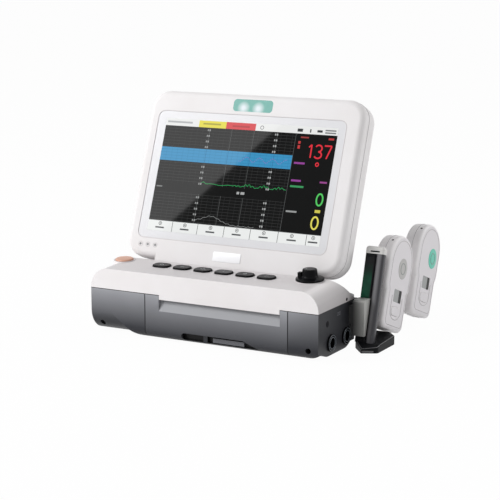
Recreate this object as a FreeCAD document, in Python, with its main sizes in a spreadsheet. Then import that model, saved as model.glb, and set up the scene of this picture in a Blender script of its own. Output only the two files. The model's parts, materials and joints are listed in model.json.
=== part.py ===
import FreeCAD
import Part
import Sketcher
import math
import os

# Fetal monitor: a desk unit with a paper drawer, a folding display head and a two-probe dock.
# Millimetres. X runs to the user's right, Y to the back, Z up from the table.
# The origin lies on the table under the middle foot.

V = FreeCAD.Vector
doc = FreeCAD.newDocument("fetal_monitor")
sheet = doc.addObject("Spreadsheet::Sheet", "Sizes")
NODES = {}


class Size:
    """A length that knows its number and the sheet expression it comes from."""

    def __init__(self, value, text):
        self.value = value
        self.text = text

    def __add__(self, other):
        other = as_size(other)
        return Size(self.value + other.value, f"({self.text} + {other.text})")

    def __sub__(self, other):
        other = as_size(other)
        return Size(self.value - other.value, f"({self.text} - {other.text})")

    def __mul__(self, other):
        other = as_size(other)
        return Size(self.value * other.value, f"({self.text} * {other.text})")

    def __truediv__(self, other):
        other = as_size(other)
        return Size(self.value / other.value, f"({self.text} / {other.text})")

    def __neg__(self):
        return Size(-self.value, f"(0 - {self.text})")

    def __radd__(self, other):
        return as_size(other) + self

    def __rsub__(self, other):
        return as_size(other) - self

    __rmul__ = __mul__


def as_size(number):
    if isinstance(number, Size):
        return number
    return Size(number, f"({number!r})")


def sine(angle):
    return Size(math.sin(math.radians(angle.value)), f"sin({angle.text} * 1 deg)")


def cosine(angle):
    return Size(math.cos(math.radians(angle.value)), f"cos({angle.text} * 1 deg)")


def tangent(angle):
    return Size(math.tan(math.radians(angle.value)), f"tan({angle.text} * 1 deg)")


def size(alias, number):
    """One driving dimension: a row of the sheet with its word and its number."""
    row = len(sheet.getUsedCells()) // 2 + 1
    sheet.set(f"A{row}", alias)
    sheet.set(f"B{row}", str(number))
    sheet.setAlias(f"B{row}", alias)
    return Size(number, f"Sizes.{alias}")


# Base: hull under the deck, narrower rear body under the folded head
base_width = size("base_width", 340)
base_depth = size("base_depth", 208)
front_reach = base_depth - size("rear_reach", 40.5)
hull_depth = size("hull_depth", 106)
rear_width = base_width - size("rear_inset", 80)
rear_top = size("rear_top", 44.5)
seam_height = size("seam_height", 62.5)
foot_height = size("foot_height", 2.5)
wall = size("wall", 3)
hull_round = size("hull_round", 30)
belly_round = size("belly_round", 12)
belly_left = base_width / 2 - size("belly_left_inset", 70)
belly_right = base_width / 2 - size("belly_right_inset", 8)
belly_run = size("belly_run", 42)
rear_round = size("rear_round", 22)
rear_edge = size("rear_edge", 8)

# Deck and upper shell
deck_rise = size("deck_rise", 26.8)
deck_slope = size("deck_slope", 3)
deck_end = hull_depth - size("deck_run_out", 34)
shoulder = size("shoulder", 26)
band_lean = size("band_lean", 2.4)
slot_width = base_width - size("slot_inset", 109)
slot_front = hull_depth - size("slot_run", 38.8)
lip_drop = size("lip_drop", 6.2)
lip_depth = size("lip_depth", 3.2)

# Keys, power button and control knob on the deck
press_gap = size("press_gap", 0.4)
power_x = -base_width / 2 + size("power_inset", 20)
power_row = hull_depth - size("power_setback", 54)
power_radius = size("power_radius", 12.4)
knob_x = base_width / 2 - size("knob_inset", 39)
knob_row = hull_depth - size("knob_setback", 52)
knob_radius = size("knob_radius", 9.4)
knob_brim = size("knob_brim", 18.6)
knob_height = size("knob_height", 14.5)
key_count = 6
key_width = size("key_width", 25)
key_depth = size("key_depth", 19)
key_corner = size("key_corner", 8)
key_pitch = key_width + size("key_gap", 6.7)
key_run = key_pitch * (key_count - 1) + key_width
key_share = size("key_share", 0.6105)
row_start = power_x + power_radius
row_play = knob_x - knob_brim - row_start - key_run
key_first = row_start + row_play * key_share + key_width / 2
key_row = hull_depth - size("key_setback", 63)
key_proud = size("key_proud", 2.4)
key_travel = size("key_travel", 1.2)
key_skirt = size("key_skirt", 4.5)
shaft_radius = size("shaft_radius", 3)
board_thick = size("board_thick", 1.6)

# Display head
lid_tilt = size("lid_tilt", 20.5)
hinge_row = hull_depth - size("hinge_setback_row", 18)
hinge_rise = size("hinge_rise", 5)
hinge_setback = size("hinge_setback", 25.8)
lid_width = base_width - size("lid_inset", 14)
lid_height = size("lid_height", 235)
lid_low = size("lid_low", 20.5)
lid_thick = size("lid_thick", 44)
lid_corner = size("lid_corner", 27)
lid_front_edge = size("lid_front_edge", 8)
lid_back_edge = size("lid_back_edge", 14)
lid_wall = size("lid_wall", 2.6)
lid_split = size("lid_split", 16)
neck_width = slot_width - size("neck_play", 5)
neck_back = size("neck_back", 16)
neck_drop = size("neck_drop", 16.5)
panel_width = lid_width - size("panel_border", 40)
panel_height = lid_height - size("panel_frame", 57)
panel_shift = size("panel_shift", -4)
panel_low = size("panel_low", 47.5)
panel_corner = size("panel_corner", 9)
panel_thick = size("panel_thick", 2.3)
lcd_thick = size("lcd_thick", 7)
lamp_width = size("lamp_width", 60)
lamp_height = size("lamp_height", 17)
lamp_low = size("lamp_low", 230.5)
lamp_shift = size("lamp_shift", -3)
led_radius = size("led_radius", 1.7)
led_first = -lid_width / 2 + size("led_inset", 23)
led_pitch = size("led_pitch", 11.7)
led_low = size("led_low", 37.5)
pin_radius = size("pin_radius", 3)
pin_gap = size("pin_gap", 0.05)

# Paper drawer and recorder
drawer_left = base_width / 2 - size("drawer_left_inset", 85)
drawer_right = base_width / 2 - size("drawer_right_inset", 43)
drawer_gap = size("drawer_gap", 0.5)
drawer_panel = size("drawer_panel", 10)
drawer_foot = size("drawer_foot", 14)
exit_left = drawer_left - size("exit_left_inset", 22)
exit_right = drawer_right - size("exit_right_inset", 11.5)
exit_drop = size("exit_drop", 21.7)
exit_depth = size("exit_depth", 7)
tray_depth = base_depth - size("rear_bay", 100)
tray_height = size("tray_height", 26)
tray_wall = size("tray_wall", 2)
paper_width = drawer_left + drawer_right - size("paper_border", 62)
paper_fold = tray_depth - size("paper_play", 18)
paper_stack = size("paper_stack", 14)
runner_width = size("runner_width", 10)
latch_left = size("latch_left", 29.5)
latch_right = size("latch_right", 62.7)
latch_tip = size("latch_tip", 84.4)
latch_low = size("latch_low", 6)
latch_high = size("latch_high", 15.6)
latch_depth = size("latch_depth", 8)
latch_bar = size("latch_bar", 46)
latch_start = size("latch_start", 16)
latch_travel = size("latch_travel", 2.5)
platen_radius = size("platen_radius", 7)
platen_row = size("platen_row", 20)
platen_rise = size("platen_rise", 64)
tooth_module = size("tooth_module", 0.8)
gear_teeth = 28
pinion_teeth = 12
gear_face = size("gear_face", 6)
motor_radius = size("motor_radius", 8.3)
motor_length = size("motor_length", 24)

# Flank sockets
socket_row = size("socket_row", 36.4)
socket_pitch = hull_depth - size("socket_margin", 62.5)
socket_rise = size("socket_rise", 18.5)
socket_flange = size("socket_flange", 11.2)
socket_bore = size("socket_bore", 6.8)
socket_proud = size("socket_proud", 2.4)

# Dock and probes on the right
dock_lean = size("dock_lean", 20)
column_lean = size("column_lean", 16)
dock_gap = size("dock_gap", 6)
column_width = size("column_width", 24)
column_depth = size("column_depth", 10)
column_height = size("column_height", 116)
column_row = hull_depth - size("column_setback", 13)
block_height = size("block_height", 47)
tray_length = size("tray_length", 79)
probe_row = column_row + size("probe_reach", 58)
probe_pitch = size("probe_pitch", 97)
probe_rise = size("probe_rise", 13)
probe_length = size("probe_length", 127)
probe_head = size("probe_head", 78)
probe_tail = size("probe_tail", 69)
probe_waist = size("probe_waist", 50)
probe_thick = size("probe_thick", 25)
probe_edge = size("probe_edge", 5)
probe_wall = size("probe_wall", 2.4)
peg_radius = size("peg_radius", 4)
peg_rise = size("peg_rise", 46)
rail_height = size("rail_height", 34)

doc.recompute()

FACES = {"XY": "XY_Plane", "XZ": "XZ_Plane", "YZ": "YZ_Plane"}


def bind(obj, prop, length):
    obj.setExpression(prop, as_size(length).text)


def place(obj, spot, lean=None):
    """Sets an object at a spot, turned about X by lean degrees."""
    turn = FreeCAD.Rotation(V(1, 0, 0), lean.value) if lean else obj.Placement.Rotation
    obj.Placement = FreeCAD.Placement(V(*[as_size(c).value for c in spot]), turn)
    for axis, length in zip("xyz", spot):
        bind(obj, f"Placement.Base.{axis}", length)
    if lean:
        obj.setExpression("Placement.Rotation.Angle", f"{lean.text} * 1 deg")
    return obj


def box(name, low, high):
    """A block between two opposite corners."""
    block = doc.addObject("Part::Box", name)
    for prop, start, stop in zip(("Length", "Width", "Height"), low, high):
        bind(block, prop, as_size(stop) - start)
    return place(block, low)


def rod(name, axis, spot, radius, length):
    """A round bar that starts at a spot and runs along +X, +Y or +Z."""
    bar = doc.addObject("Part::Cylinder", name)
    bind(bar, "Radius", radius)
    bind(bar, "Height", length)
    turns = {"X": (V(0, 1, 0), 90), "Y": (V(1, 0, 0), -90), "Z": (V(0, 0, 1), 0)}
    bar.Placement.Rotation = FreeCAD.Rotation(*turns[axis])
    return place(bar, spot)


def corner_arc(before, point, after, radius):
    """Tangent points, centre and turning sense of a rounded outline corner."""
    to_before = (before - point).normalize()
    to_after = (after - point).normalize()
    half = to_before.getAngle(to_after) / 2
    reach = radius / math.tan(half)
    centre = point + (to_before + to_after).normalize() * (radius / math.sin(half))
    left = to_before.cross(to_after).z < 0
    return point + to_before * reach, point + to_after * reach, centre, left


def sketch_outline(body, plane, corners):
    """A closed outline of straight runs; a corner with a third value is rounded by it."""
    sketch = body.newObject("Sketcher::SketchObject", "outline")
    support = [f for f in body.Origin.OriginFeatures if f.Role == FACES[plane]][0]
    sketch.AttachmentSupport = (support, [""])
    sketch.MapMode = "FlatFace"
    corners = [tuple(as_size(c) for c in corner) for corner in corners]
    points = [V(c[0].value, c[1].value, 0) for c in corners]
    count = len(corners)
    arcs = {}
    for i, corner in enumerate(corners):
        if len(corner) == 3:
            arcs[i] = corner_arc(points[i - 1], points[i], points[(i + 1) % count], corner[2].value)
    lines = []
    for i in range(count):
        j = (i + 1) % count
        start = arcs[i][1] if i in arcs else points[i]
        stop = arcs[j][0] if j in arcs else points[j]
        lines.append(sketch.addGeometry(Part.LineSegment(start, stop)))

    def pin_down(geometry, corner):
        for kind, length in zip(("DistanceX", "DistanceY"), corner):
            index = sketch.addConstraint(Sketcher.Constraint(kind, -1, 1, geometry, 1, length.value))
            bind(sketch, f"Constraints[{index}]", length)

    for i, corner in enumerate(corners):
        if i not in arcs:
            sketch.addConstraint(Sketcher.Constraint("Coincident", lines[i - 1], 2, lines[i], 1))
            pin_down(lines[i], corner)
            continue
        start, stop, centre, left = arcs[i]
        first, last = (start, stop) if left else (stop, start)
        angles = [math.atan2(p.y - centre.y, p.x - centre.x) for p in (first, last)]
        circle = Part.Circle(centre, V(0, 0, 1), corner[2].value)
        arc = sketch.addGeometry(Part.ArcOfCircle(circle, *angles))
        vertex = sketch.addGeometry(Part.Point(points[i]), True)
        enter, leave = (1, 2) if left else (2, 1)
        sketch.addConstraint(Sketcher.Constraint("Tangent", lines[i - 1], 2, arc, enter))
        sketch.addConstraint(Sketcher.Constraint("Tangent", arc, leave, lines[i], 1))
        sketch.addConstraint(Sketcher.Constraint("PointOnObject", vertex, 1, lines[i - 1]))
        sketch.addConstraint(Sketcher.Constraint("PointOnObject", vertex, 1, lines[i]))
        index = sketch.addConstraint(Sketcher.Constraint("Radius", arc, corner[2].value))
        bind(sketch, f"Constraints[{index}]", corner[2])
        pin_down(vertex, corner)
    return sketch


def prism(name, plane, corners, start, length):
    """An outline carried along +X, +Y or +Z from a start; the outline faces that way."""
    body = doc.addObject("PartDesign::Body", name)
    sketch = sketch_outline(body, plane, corners)
    pad = body.newObject("PartDesign::Pad", "pad")
    pad.Profile = sketch
    pad.Reversed = plane == "XZ"
    bind(pad, "Length", length)
    axis = {"XY": "z", "XZ": "y", "YZ": "x"}[plane]
    spot = [start if axis == a else 0 for a in "xyz"]
    return place(body, spot)


def round_face(body, direction, radius):
    """Rounds every edge of the body's outermost face that looks in a direction."""
    base = body.Tip
    doc.recompute([base])
    best = max(
        (face.CenterOfMass.dot(direction), f"Face{i}")
        for i, face in enumerate(base.Shape.Faces, 1)
        if face.Surface.TypeId == "Part::GeomPlane" and face.normalAt(0, 0).dot(direction) > 0.99
    )
    fillet = body.newObject("PartDesign::Fillet", "fillet")
    fillet.Base = (base, [best[1]])
    bind(fillet, "Radius", radius)
    body.Tip = fillet
    return body


def turned(name, profile, spot, lean=None):
    """A piece turned on a lathe: an outline of (radius, height) spun about its own Z axis."""
    body = doc.addObject("PartDesign::Body", name)
    sketch = sketch_outline(body, "XZ", profile)
    spin = body.newObject("PartDesign::Revolution", "spin")
    spin.Profile = sketch
    spin.ReferenceAxis = (sketch, ["V_Axis"])
    spin.Angle = 360
    return place(body, spot, lean)


def rounded(left, right, low, high, radius):
    """The four corners of a rounded rectangle."""
    return [(left, low, radius), (right, low, radius), (right, high, radius), (left, high, radius)]


def fuse(name, *pieces):
    union = doc.addObject("Part::MultiFuse", name)
    union.Shapes = list(pieces)
    union.Refine = True
    return union


def common(name, *pieces):
    shared = doc.addObject("Part::MultiCommon", name)
    shared.Shapes = list(pieces)
    return shared


def cut(name, base, *tools):
    result = doc.addObject("Part::Cut", name)
    result.Base = base
    result.Tool = tools[0] if len(tools) == 1 else fuse(f"{name}_tools", *tools)
    result.Refine = True
    return result


def group(name, *pieces):
    bundle = doc.addObject("Part::Compound", name)
    bundle.Links = list(pieces)
    return bundle


def node(label, obj):
    """Names a finished piece; the name is also its file's."""
    obj.Label = label
    NODES[label] = obj
    return obj


def moved(obj, spot, lean):
    """Carries a piece built in its own frame to its place on the object."""
    return place(group("carried", obj), spot, lean)


front = -front_reach
half = base_width / 2
rear_half = rear_width / 2
slot_half = slot_width / 2
belly = foot_height
floor = belly + wall
deck_spot = (0, front, seam_height + deck_rise)
hinge_y = front + hinge_row
hinge_z = seam_height + hinge_rise
hinge_spot = (0, hinge_y, hinge_z)
over = 60


# Lower shell: hull with rolled edges, drawer belly and the low rear body
def hull_side(inset):
    top = seam_height + inset
    return [
        (front + inset, top),
        (front + inset, belly + inset, hull_round - inset),
        (front + hull_depth - inset, belly + inset, hull_round - inset),
        (front + hull_depth - inset, top),
    ]


def belly_solid(name, inset):
    side = [
        (front + inset, belly + hull_round),
        (front + inset, belly + inset, belly_round - inset),
        (front + hull_depth - inset, belly + inset),
        (front + hull_depth - inset, belly + hull_round),
    ]
    swell = belly_run
    face = [
        (-belly_left - belly_run, belly + hull_round),
        (-belly_left, belly + inset, swell),
        (belly_right, belly + inset, swell),
        (belly_right + belly_run, belly + hull_round),
    ]
    long_bar = prism(f"{name}_side", "YZ", side, -half + inset, base_width - inset * 2)
    swelling = prism(f"{name}_face", "XZ", face, front - 1, hull_depth + 2)
    return common(name, long_bar, swelling)


def rear_solid(name, inset):
    plan = [
        (-rear_half + inset, front + hull_depth / 2),
        (rear_half - inset, front + hull_depth / 2),
        (rear_half - inset, front + base_depth - inset, rear_round - inset),
        (-rear_half + inset, front + base_depth - inset, rear_round - inset),
    ]
    body = prism(name, "XY", plan, belly + inset, rear_top - belly - inset * 2)
    return round_face(body, V(0, 0, -1), rear_edge - inset)


outer_hull = prism("outer_hull", "YZ", hull_side(as_size(0)), -half, base_width)
inner_hull = prism("inner_hull", "YZ", hull_side(wall), -half + wall, base_width - wall * 2)
lower_outer = fuse(
    "lower_outer", outer_hull, belly_solid("outer_belly", as_size(0)), rear_solid("outer_rear", as_size(0)),
)
lower_inner = fuse(
    "lower_inner", inner_hull, belly_solid("inner_belly", wall), rear_solid("inner_rear", wall),
)

drawer_mouth = box(
    "drawer_mouth",
    (-drawer_left, front - 1, 0),
    (drawer_right, front + drawer_foot + drawer_gap, seam_height + 1),
)
neck_mouth = box(
    "neck_mouth",
    (-slot_half, front + hull_depth - wall * 2, rear_top - wall),
    (slot_half, front + hull_depth + 1, seam_height + 1),
)
cover_half = slot_half - 2
cover_back = front + base_depth - rear_round
cover_thick = wall / 2
cover_mouth = box(
    "cover_mouth",
    (-cover_half, front + hull_depth / 2, rear_top - cover_thick),
    (cover_half, cover_back, rear_top + 1),
)
ledge = 5
cover_well = box(
    "cover_well",
    (-cover_half + ledge, front + hull_depth / 2, rear_top - wall - 1),
    (cover_half - ledge, cover_back - ledge, rear_top),
)

# Case screws sit deep in the two front corners, in bosses moulded inside the hull
screw_x = half - 14
screw_rise = size("screw_rise", 14)
screw_head = size("screw_head", 3.4)
screw_shank = size("screw_shank", 1.6)
screw_seat = size("screw_seat", 15)
screw_boss = size("screw_boss", 6)
screw_length = size("screw_length", 8)
bosses = []
screw_holes = []
screws = []
for side in (-1, 1):
    seat = (screw_x * side, front + screw_seat, screw_rise)
    mouth = (screw_x * side, front, screw_rise)
    bosses.append(rod("boss", "Y", (screw_x * side, front + 1, screw_rise), screw_boss, screw_seat + 10))
    screw_holes.append(rod("screw_mouth", "Y", mouth, screw_head + press_gap, screw_seat))
    screw_holes.append(rod("screw_bore", "Y", seat, screw_shank, screw_length))
    top = (screw_x * side, front + screw_seat - screw_head, screw_rise)
    head = rod("screw_top", "Y", top, screw_head, screw_head)
    screws.append(fuse("screw", head, rod("screw_stem", "Y", seat, screw_shank, screw_length)))
node("case_screws", group("screw_pair", *screws))
boss_pair = common("boss_pair", group("boss_rods", *bosses), lower_outer)

# Flank sockets, mains inlet, ground stud, battery door and trolley holes pierce the lower shell
barrel = socket_flange - 2.3
socket_holes = []
rings = []
cores = []
barrel_length = size("barrel_length", 16)
core_depth = size("core_depth", 11)
for i in range(2):
    y = front + socket_row + socket_pitch * i
    inside = half - barrel_length
    socket_holes.append(rod("socket_hole", "X", (half - wall * 2, y, socket_rise), barrel + 0.1, wall * 3))
    flange = rod("socket_rim", "X", (half, y, socket_rise), socket_flange, socket_proud)
    sleeve = rod("socket_sleeve", "X", (inside, y, socket_rise), barrel, barrel_length)
    plug_face = half + socket_proud - core_depth
    throat = rod("socket_throat", "X", (inside - 1, y, socket_rise), socket_bore - 0.8, barrel_length)
    mouth = rod("socket_mouth", "X", (plug_face + 2, y, socket_rise), socket_bore, core_depth)
    rings.append(cut("socket_ring", fuse("socket_body", flange, sleeve), throat, mouth))
    disc = rod("core_disc", "X", (inside, y, socket_rise), socket_bore - 0.8, plug_face - inside)
    contacts = []
    contact_ring = socket_bore * 0.55
    for k in range(5):
        turn = 2 * math.pi * k / 5
        spot = (
            plug_face,
            y + contact_ring * math.cos(turn),
            socket_rise + contact_ring * math.sin(turn),
        )
        contacts.append(rod("contact", "X", spot, 0.6, 1.5))
    cores.append(fuse("socket_core", disc, *contacts))
node("probe_sockets", group("socket_set", *rings, *cores))

inlet_x = rear_half - size("inlet_inset", 60)
inlet_rise = size("inlet_rise", 23)
inlet_width = size("inlet_width", 27)
inlet_height = size("inlet_height", 20)
inlet_depth = size("inlet_depth", 18)
inlet_wall = size("inlet_wall", 1.6)
back_wall = front + base_depth
inlet_left = inlet_x - inlet_width / 2
inlet_right = inlet_x + inlet_width / 2
inlet_low = inlet_rise - inlet_height / 2
inlet_high = inlet_rise + inlet_height / 2
inlet_end = back_wall - inlet_depth
inlet_hole = box(
    "inlet_hole", (inlet_left, back_wall - wall * 2, inlet_low), (inlet_right, back_wall + 1, inlet_high),
)
inlet_case = box(
    "inlet_case", (inlet_left, inlet_end, inlet_low), (inlet_right, back_wall, inlet_high),
)
inlet_void = box(
    "inlet_void",
    (inlet_left + inlet_wall, inlet_end + inlet_wall, inlet_low + inlet_wall),
    (inlet_right - inlet_wall, back_wall + 1, inlet_high - inlet_wall),
)
blades = []
for dx, dz in ((-7, -2.5), (7, -2.5), (0, 2.5)):
    low = (inlet_x + dx - 1, inlet_end + inlet_wall, inlet_rise + dz - 2)
    high = (inlet_x + dx + 1, back_wall - 6, inlet_rise + dz + 2)
    blades.append(box("blade", low, high))
node("mains_inlet", group("inlet_set", cut("inlet_shell", inlet_case, inlet_void), *blades))

stud_x = inlet_x - size("stud_spacing", 35)
stud_radius = size("stud_radius", 3)
stud_proud = size("stud_proud", 9)
stud_hole = rod("stud_hole", "Y", (stud_x, back_wall - wall * 2, inlet_rise), stud_radius, wall * 3)
stud_bar = rod("stud_bar", "Y", (stud_x, back_wall - wall - 6, inlet_rise), stud_radius, stud_proud)
stud_nut = rod("stud_nut", "Y", (stud_x, back_wall - wall - 5, inlet_rise), stud_radius + 3, 5)
node("ground_stud", fuse("stud", stud_bar, stud_nut))

door_left = -rear_half + size("door_inset", 32)
door_right = door_left + size("door_width", 82)
door_front = base_depth - size("door_reach", 84)
door_back = base_depth - size("door_margin", 32)
door_gap = size("door_gap", 0.3)
cell_height = size("cell_height", 16)
door_hole = box(
    "door_hole",
    (door_left - door_gap, front + door_front - door_gap, belly - 1),
    (door_right + door_gap, front + door_back + door_gap, floor + 1),
)
node("battery_door", box(
    "door_plate", (door_left, front + door_front, belly), (door_right, front + door_back, floor),
))
node("battery_pack", box(
    "cell_block",
    (door_left + 3, front + door_front + 3, floor),
    (door_right - 3, front + door_back - 3, floor + cell_height),
))

trolley_pitch = size("trolley_pitch", 75)
trolley_rows = size("trolley_rows", 35)
trolley_row = door_front - trolley_rows / 2 - size("trolley_clear", 11.5)
trolley_hole = size("trolley_hole", 2.25)
trolley_holes = []
for sx in (-0.5, 0.5):
    for sy in (-0.5, 0.5):
        spot = (trolley_pitch * sx, front + trolley_row + trolley_rows * sy, belly - 1)
        trolley_holes.append(rod("trolley_hole", "Z", spot, trolley_hole, wall + 2))

lower_cut = cut(
    "lower_cut",
    lower_outer,
    lower_inner,
    drawer_mouth,
    neck_mouth,
    cover_mouth,
    cover_well,
)
lower_bossed = fuse("lower_bossed", lower_cut, boss_pair)
node("lower_shell", cut(
    "lower_finished", lower_bossed,
    *screw_holes, *socket_holes, inlet_hole, stud_hole, door_hole, *trolley_holes,
))

foot_radius = size("foot_radius", 8)
feet = []
foot_inset = size("foot_inset", 25)
foot_row = size("foot_row", 45)
foot_spots = [(0, front_reach)]
for side in (-1, 1):
    foot_spots.append(((half - foot_inset) * side, foot_row))
    foot_spots.append(((rear_half - foot_inset + 5) * side, base_depth - foot_inset - 7))
for x, y in foot_spots:
    feet.append(rod("foot", "Z", (x, front + y, 0), foot_radius, foot_height))
node("rubber_feet", group("feet", *feet))

# Rear cover closes the low rear body and floors the hinge slot
cover_plate = box(
    "cover_plate",
    (-cover_half + drawer_gap, front + slot_front + 2, rear_top - cover_thick),
    (cover_half - drawer_gap, cover_back - drawer_gap, rear_top),
)
node("rear_cover", cover_plate)


# Upper shell: arched deck with a front band, hinge slot, cheeks and key holes
def arch(name, inset):
    low = -over
    face = [
        (-half + inset, low),
        (half - inset, low),
        (half - inset, -inset, shoulder - inset),
        (-half + inset, -inset, shoulder - inset),
    ]
    body = prism(name, "XZ", face, as_size(0), hull_depth * 2)
    lead = 10
    spot = (0, front - lead, seam_height + deck_rise - tangent(deck_slope) * lead)
    return moved(body, spot, deck_slope)


def deck_side(inset, low):
    rise = deck_rise + over / 3
    run = (hull_depth - 2 - deck_end) * (over / 3) / deck_rise
    return [
        (front + inset, low),
        (front + inset + band_lean, seam_height + rise),
        (front + deck_end - run - inset * 1.4, seam_height + rise),
        (front + hull_depth - 2 - inset * 1.4, low),
    ]


upper_outer = common(
    "upper_outer",
    arch("arch_outer", as_size(0)),
    prism("side_outer", "YZ", deck_side(as_size(0), seam_height), -half, base_width),
)
cheeks = []
for side in (-1, 1):
    inner = slot_half if side > 0 else -slot_half - wall
    low = (inner, front + slot_front - 4, seam_height - 2)
    cheeks.append(box("cheek", low, (inner + wall, front + hull_depth, seam_height + over)))
upper_inner = cut(
    "upper_inner",
    common(
        "upper_room",
        arch("arch_inner", wall),
        prism("side_inner", "YZ", deck_side(wall, seam_height - 1), -half, base_width),
    ),
    *cheeks,
)
hinge_slot = box(
    "hinge_slot",
    (-slot_half, front + slot_front, seam_height - 1),
    (slot_half, front + hull_depth + 1, seam_height + over),
)
lip = box(
    "lip",
    (-exit_left, front, seam_height - lip_drop),
    (exit_right, front + lip_depth, seam_height + 1),
)
axle_reach = slot_half + wall * 2 + 1
axle_hole = rod("axle_hole", "X", (-axle_reach, hinge_y, hinge_z), pin_radius + 2.2, axle_reach * 2)


def on_deck(obj):
    return moved(obj, deck_spot, deck_slope)


power_boss = rod("power_boss", "Z", (power_x, power_row, -shoulder), power_radius + 2.4, shoulder + 0.6)
knob_boss = rod("knob_boss", "Z", (knob_x, knob_row, -shoulder / 2), knob_brim + 1.2, shoulder / 2 + 0.6)
power_bore = rod("power_bore", "Z", (power_x, power_row, -over), power_radius + press_gap, over + 10)
knob_bore = rod("knob_bore", "Z", (knob_x, knob_row, -over), shaft_radius + 0.6, over + 10)
knob_room = box(
    "knob_room",
    (knob_x - 12, knob_row - 10, -over),
    (knob_x + 12, knob_row + 9, -wall),
)
key_holes = []
keys = []
for i in range(key_count):
    x = key_first + key_pitch * i
    hole = rounded(
        x - key_width / 2 - press_gap, x + key_width / 2 + press_gap,
        key_row - key_depth / 2 - press_gap, key_row + key_depth / 2 + press_gap, key_corner + press_gap,
    )
    key_holes.append(prism("key_hole", "XY", hole, -wall * 3, wall * 5))
    cap = rounded(
        x - key_width / 2, x + key_width / 2, key_row - key_depth / 2, key_row + key_depth / 2, key_corner,
    )
    cap_body = prism("key_cap", "XY", cap, -key_skirt, key_skirt + key_proud)
    keys.append(round_face(cap_body, V(0, 0, 1), key_proud * 0.6))
upper_blank = cut("upper_blank", upper_outer, upper_inner)
upper_bossed = fuse("upper_bossed", fuse("upper_lipped", upper_blank, lip), on_deck(power_boss))
upper_full = fuse("upper_full", upper_bossed, on_deck(knob_boss))
deck_tools = on_deck(fuse("deck_tools", power_bore, knob_bore, knob_room, *key_holes))
upper_pierced = cut("upper_pierced", upper_full, deck_tools)
pocket_side = [
    (hinge_y - 9, seam_height - 1),
    (hinge_y + 9.5, seam_height - 1),
    (hinge_y + 9.5, hinge_z - 1.4),
    (hinge_y - 2.9, hinge_z + 9),
    (hinge_y - 9, hinge_z + 9),
]
pocket_left = prism("pocket_left", "YZ", pocket_side, -axle_reach, wall + 1)
pocket_right = prism("pocket_right", "YZ", pocket_side, axle_reach - wall - 1, wall + 1)
upper_slotted = cut("upper_slotted", upper_pierced, hinge_slot)
node("upper_shell", cut("upper_finished", upper_slotted, axle_hole, pocket_left, pocket_right))

for i, key in enumerate(keys):
    node(f"key_{i + 1}", on_deck(key))

# Key board under the deck: dome switches carry the keys, with the travel left free
dome = size("dome", 3)
board_top = -key_skirt - key_travel - dome
key_domes = []
for i in range(key_count):
    spot = (key_first + key_pitch * i, key_row, board_top - 0.2)
    key_domes.append(rod("dome", "Z", spot, key_corner * 0.6, dome - 0.1 + 0.2))
board_span = box(
    "board_span",
    (key_first - key_width / 2, key_row - key_depth / 2 - 2, board_top - board_thick),
    (key_first + key_pitch * (key_count - 1) + key_width / 2, key_row + key_depth / 2 + 2, board_top),
)
posts = []
for i in range(key_count - 1):
    spot = (key_first + key_pitch * (i + 0.5), key_row, board_top - 0.2)
    posts.append(rod("post", "Z", spot, 2, -board_top - wall + 0.2))
node("key_board", on_deck(fuse("board", board_span, *key_domes, *posts)))

power_profile = [
    (0, -9),
    (power_radius, -9),
    (power_radius, 2.6, 2),
    (0, 3.4),
]
power_cap = turned("power_cap", power_profile, (power_x, power_row, 0))
node("power_button", on_deck(power_cap))
switch_top = -9 - key_travel - 0.1
switch_plinth = rod("switch_plinth", "Z", (power_x, power_row, switch_top - 8), power_radius - 4, 8)
switch_disc = rod("switch_disc", "Z", (power_x, power_row, switch_top - 5), power_radius + press_gap, 3)
node("power_switch", on_deck(fuse("switch", switch_plinth, switch_disc)))

knob_gap = 1.0
knob_profile = [
    (0, -12),
    (shaft_radius, -12),
    (shaft_radius, knob_gap),
    (knob_brim, knob_gap),
    (knob_brim, knob_gap + 2.2, 1),
    (knob_radius + 1, knob_gap + 4.4, 3),
    (knob_radius, knob_gap + knob_height, 1.8),
    (0, knob_gap + knob_height),
]
node("control_knob", on_deck(turned("knob_cap", knob_profile, (knob_x, knob_row, 0))))
encoder_case = box(
    "encoder_case", (knob_x - 7, knob_row - 7, -wall - 14), (knob_x + 7, knob_row + 7, -wall),
)
encoder_bore = rod("encoder_bore", "Z", (knob_x, knob_row, -12.4), shaft_radius + pin_gap, over)
node("knob_encoder", on_deck(cut("encoder", encoder_case, encoder_bore)))

# Hinge: steel plates stand on the floor, the pins turn with the head
plate_thick = wall
plate_half = size("plate_half", 8)
plates = []
pins = []
for side in (-1, 1):
    inner = slot_half + wall + 0.3
    x = inner if side > 0 else -inner - plate_thick
    outline = [
        (hinge_y - plate_half, floor),
        (hinge_y + plate_half, floor),
        (hinge_y + plate_half, hinge_z - 0.9),
        (hinge_y - 2.6, hinge_z + plate_half),
        (hinge_y - plate_half, hinge_z + plate_half),
    ]
    blank = prism("hinge_blank", "YZ", outline, x, plate_thick)
    bore = rod("hinge_bore", "X", (x - 1, hinge_y, hinge_z), pin_radius + pin_gap, plate_thick + 2)
    plates.append(cut("hinge_plate", blank, bore))
    reach = slot_half + wall + 0.3 + plate_thick + 1 - neck_width / 2 + 16
    start = neck_width / 2 - 16 if side > 0 else -neck_width / 2 + 16 - reach
    pins.append(rod("pin", "X", (start, 0, 0), pin_radius, reach))
node("hinge_brackets", group("hinge_plates", *plates))


# Display head, built upright about the hinge axis and tilted back into place
def on_lid(obj):
    return moved(obj, hinge_spot, -lid_tilt)


lid_front = -hinge_setback
lid_half = lid_width / 2
lid_top = lid_low + lid_height


def lid_solid(name, inset):
    face = rounded(
        -lid_half + inset, lid_half - inset, lid_low + inset, lid_top - inset, lid_corner - inset,
    )
    body = prism(name, "XZ", face, lid_front + inset, lid_thick - inset * 2)
    round_face(body, V(0, -1, 0), lid_front_edge - inset)
    return round_face(body, V(0, 1, 0), lid_back_edge - inset)


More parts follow.
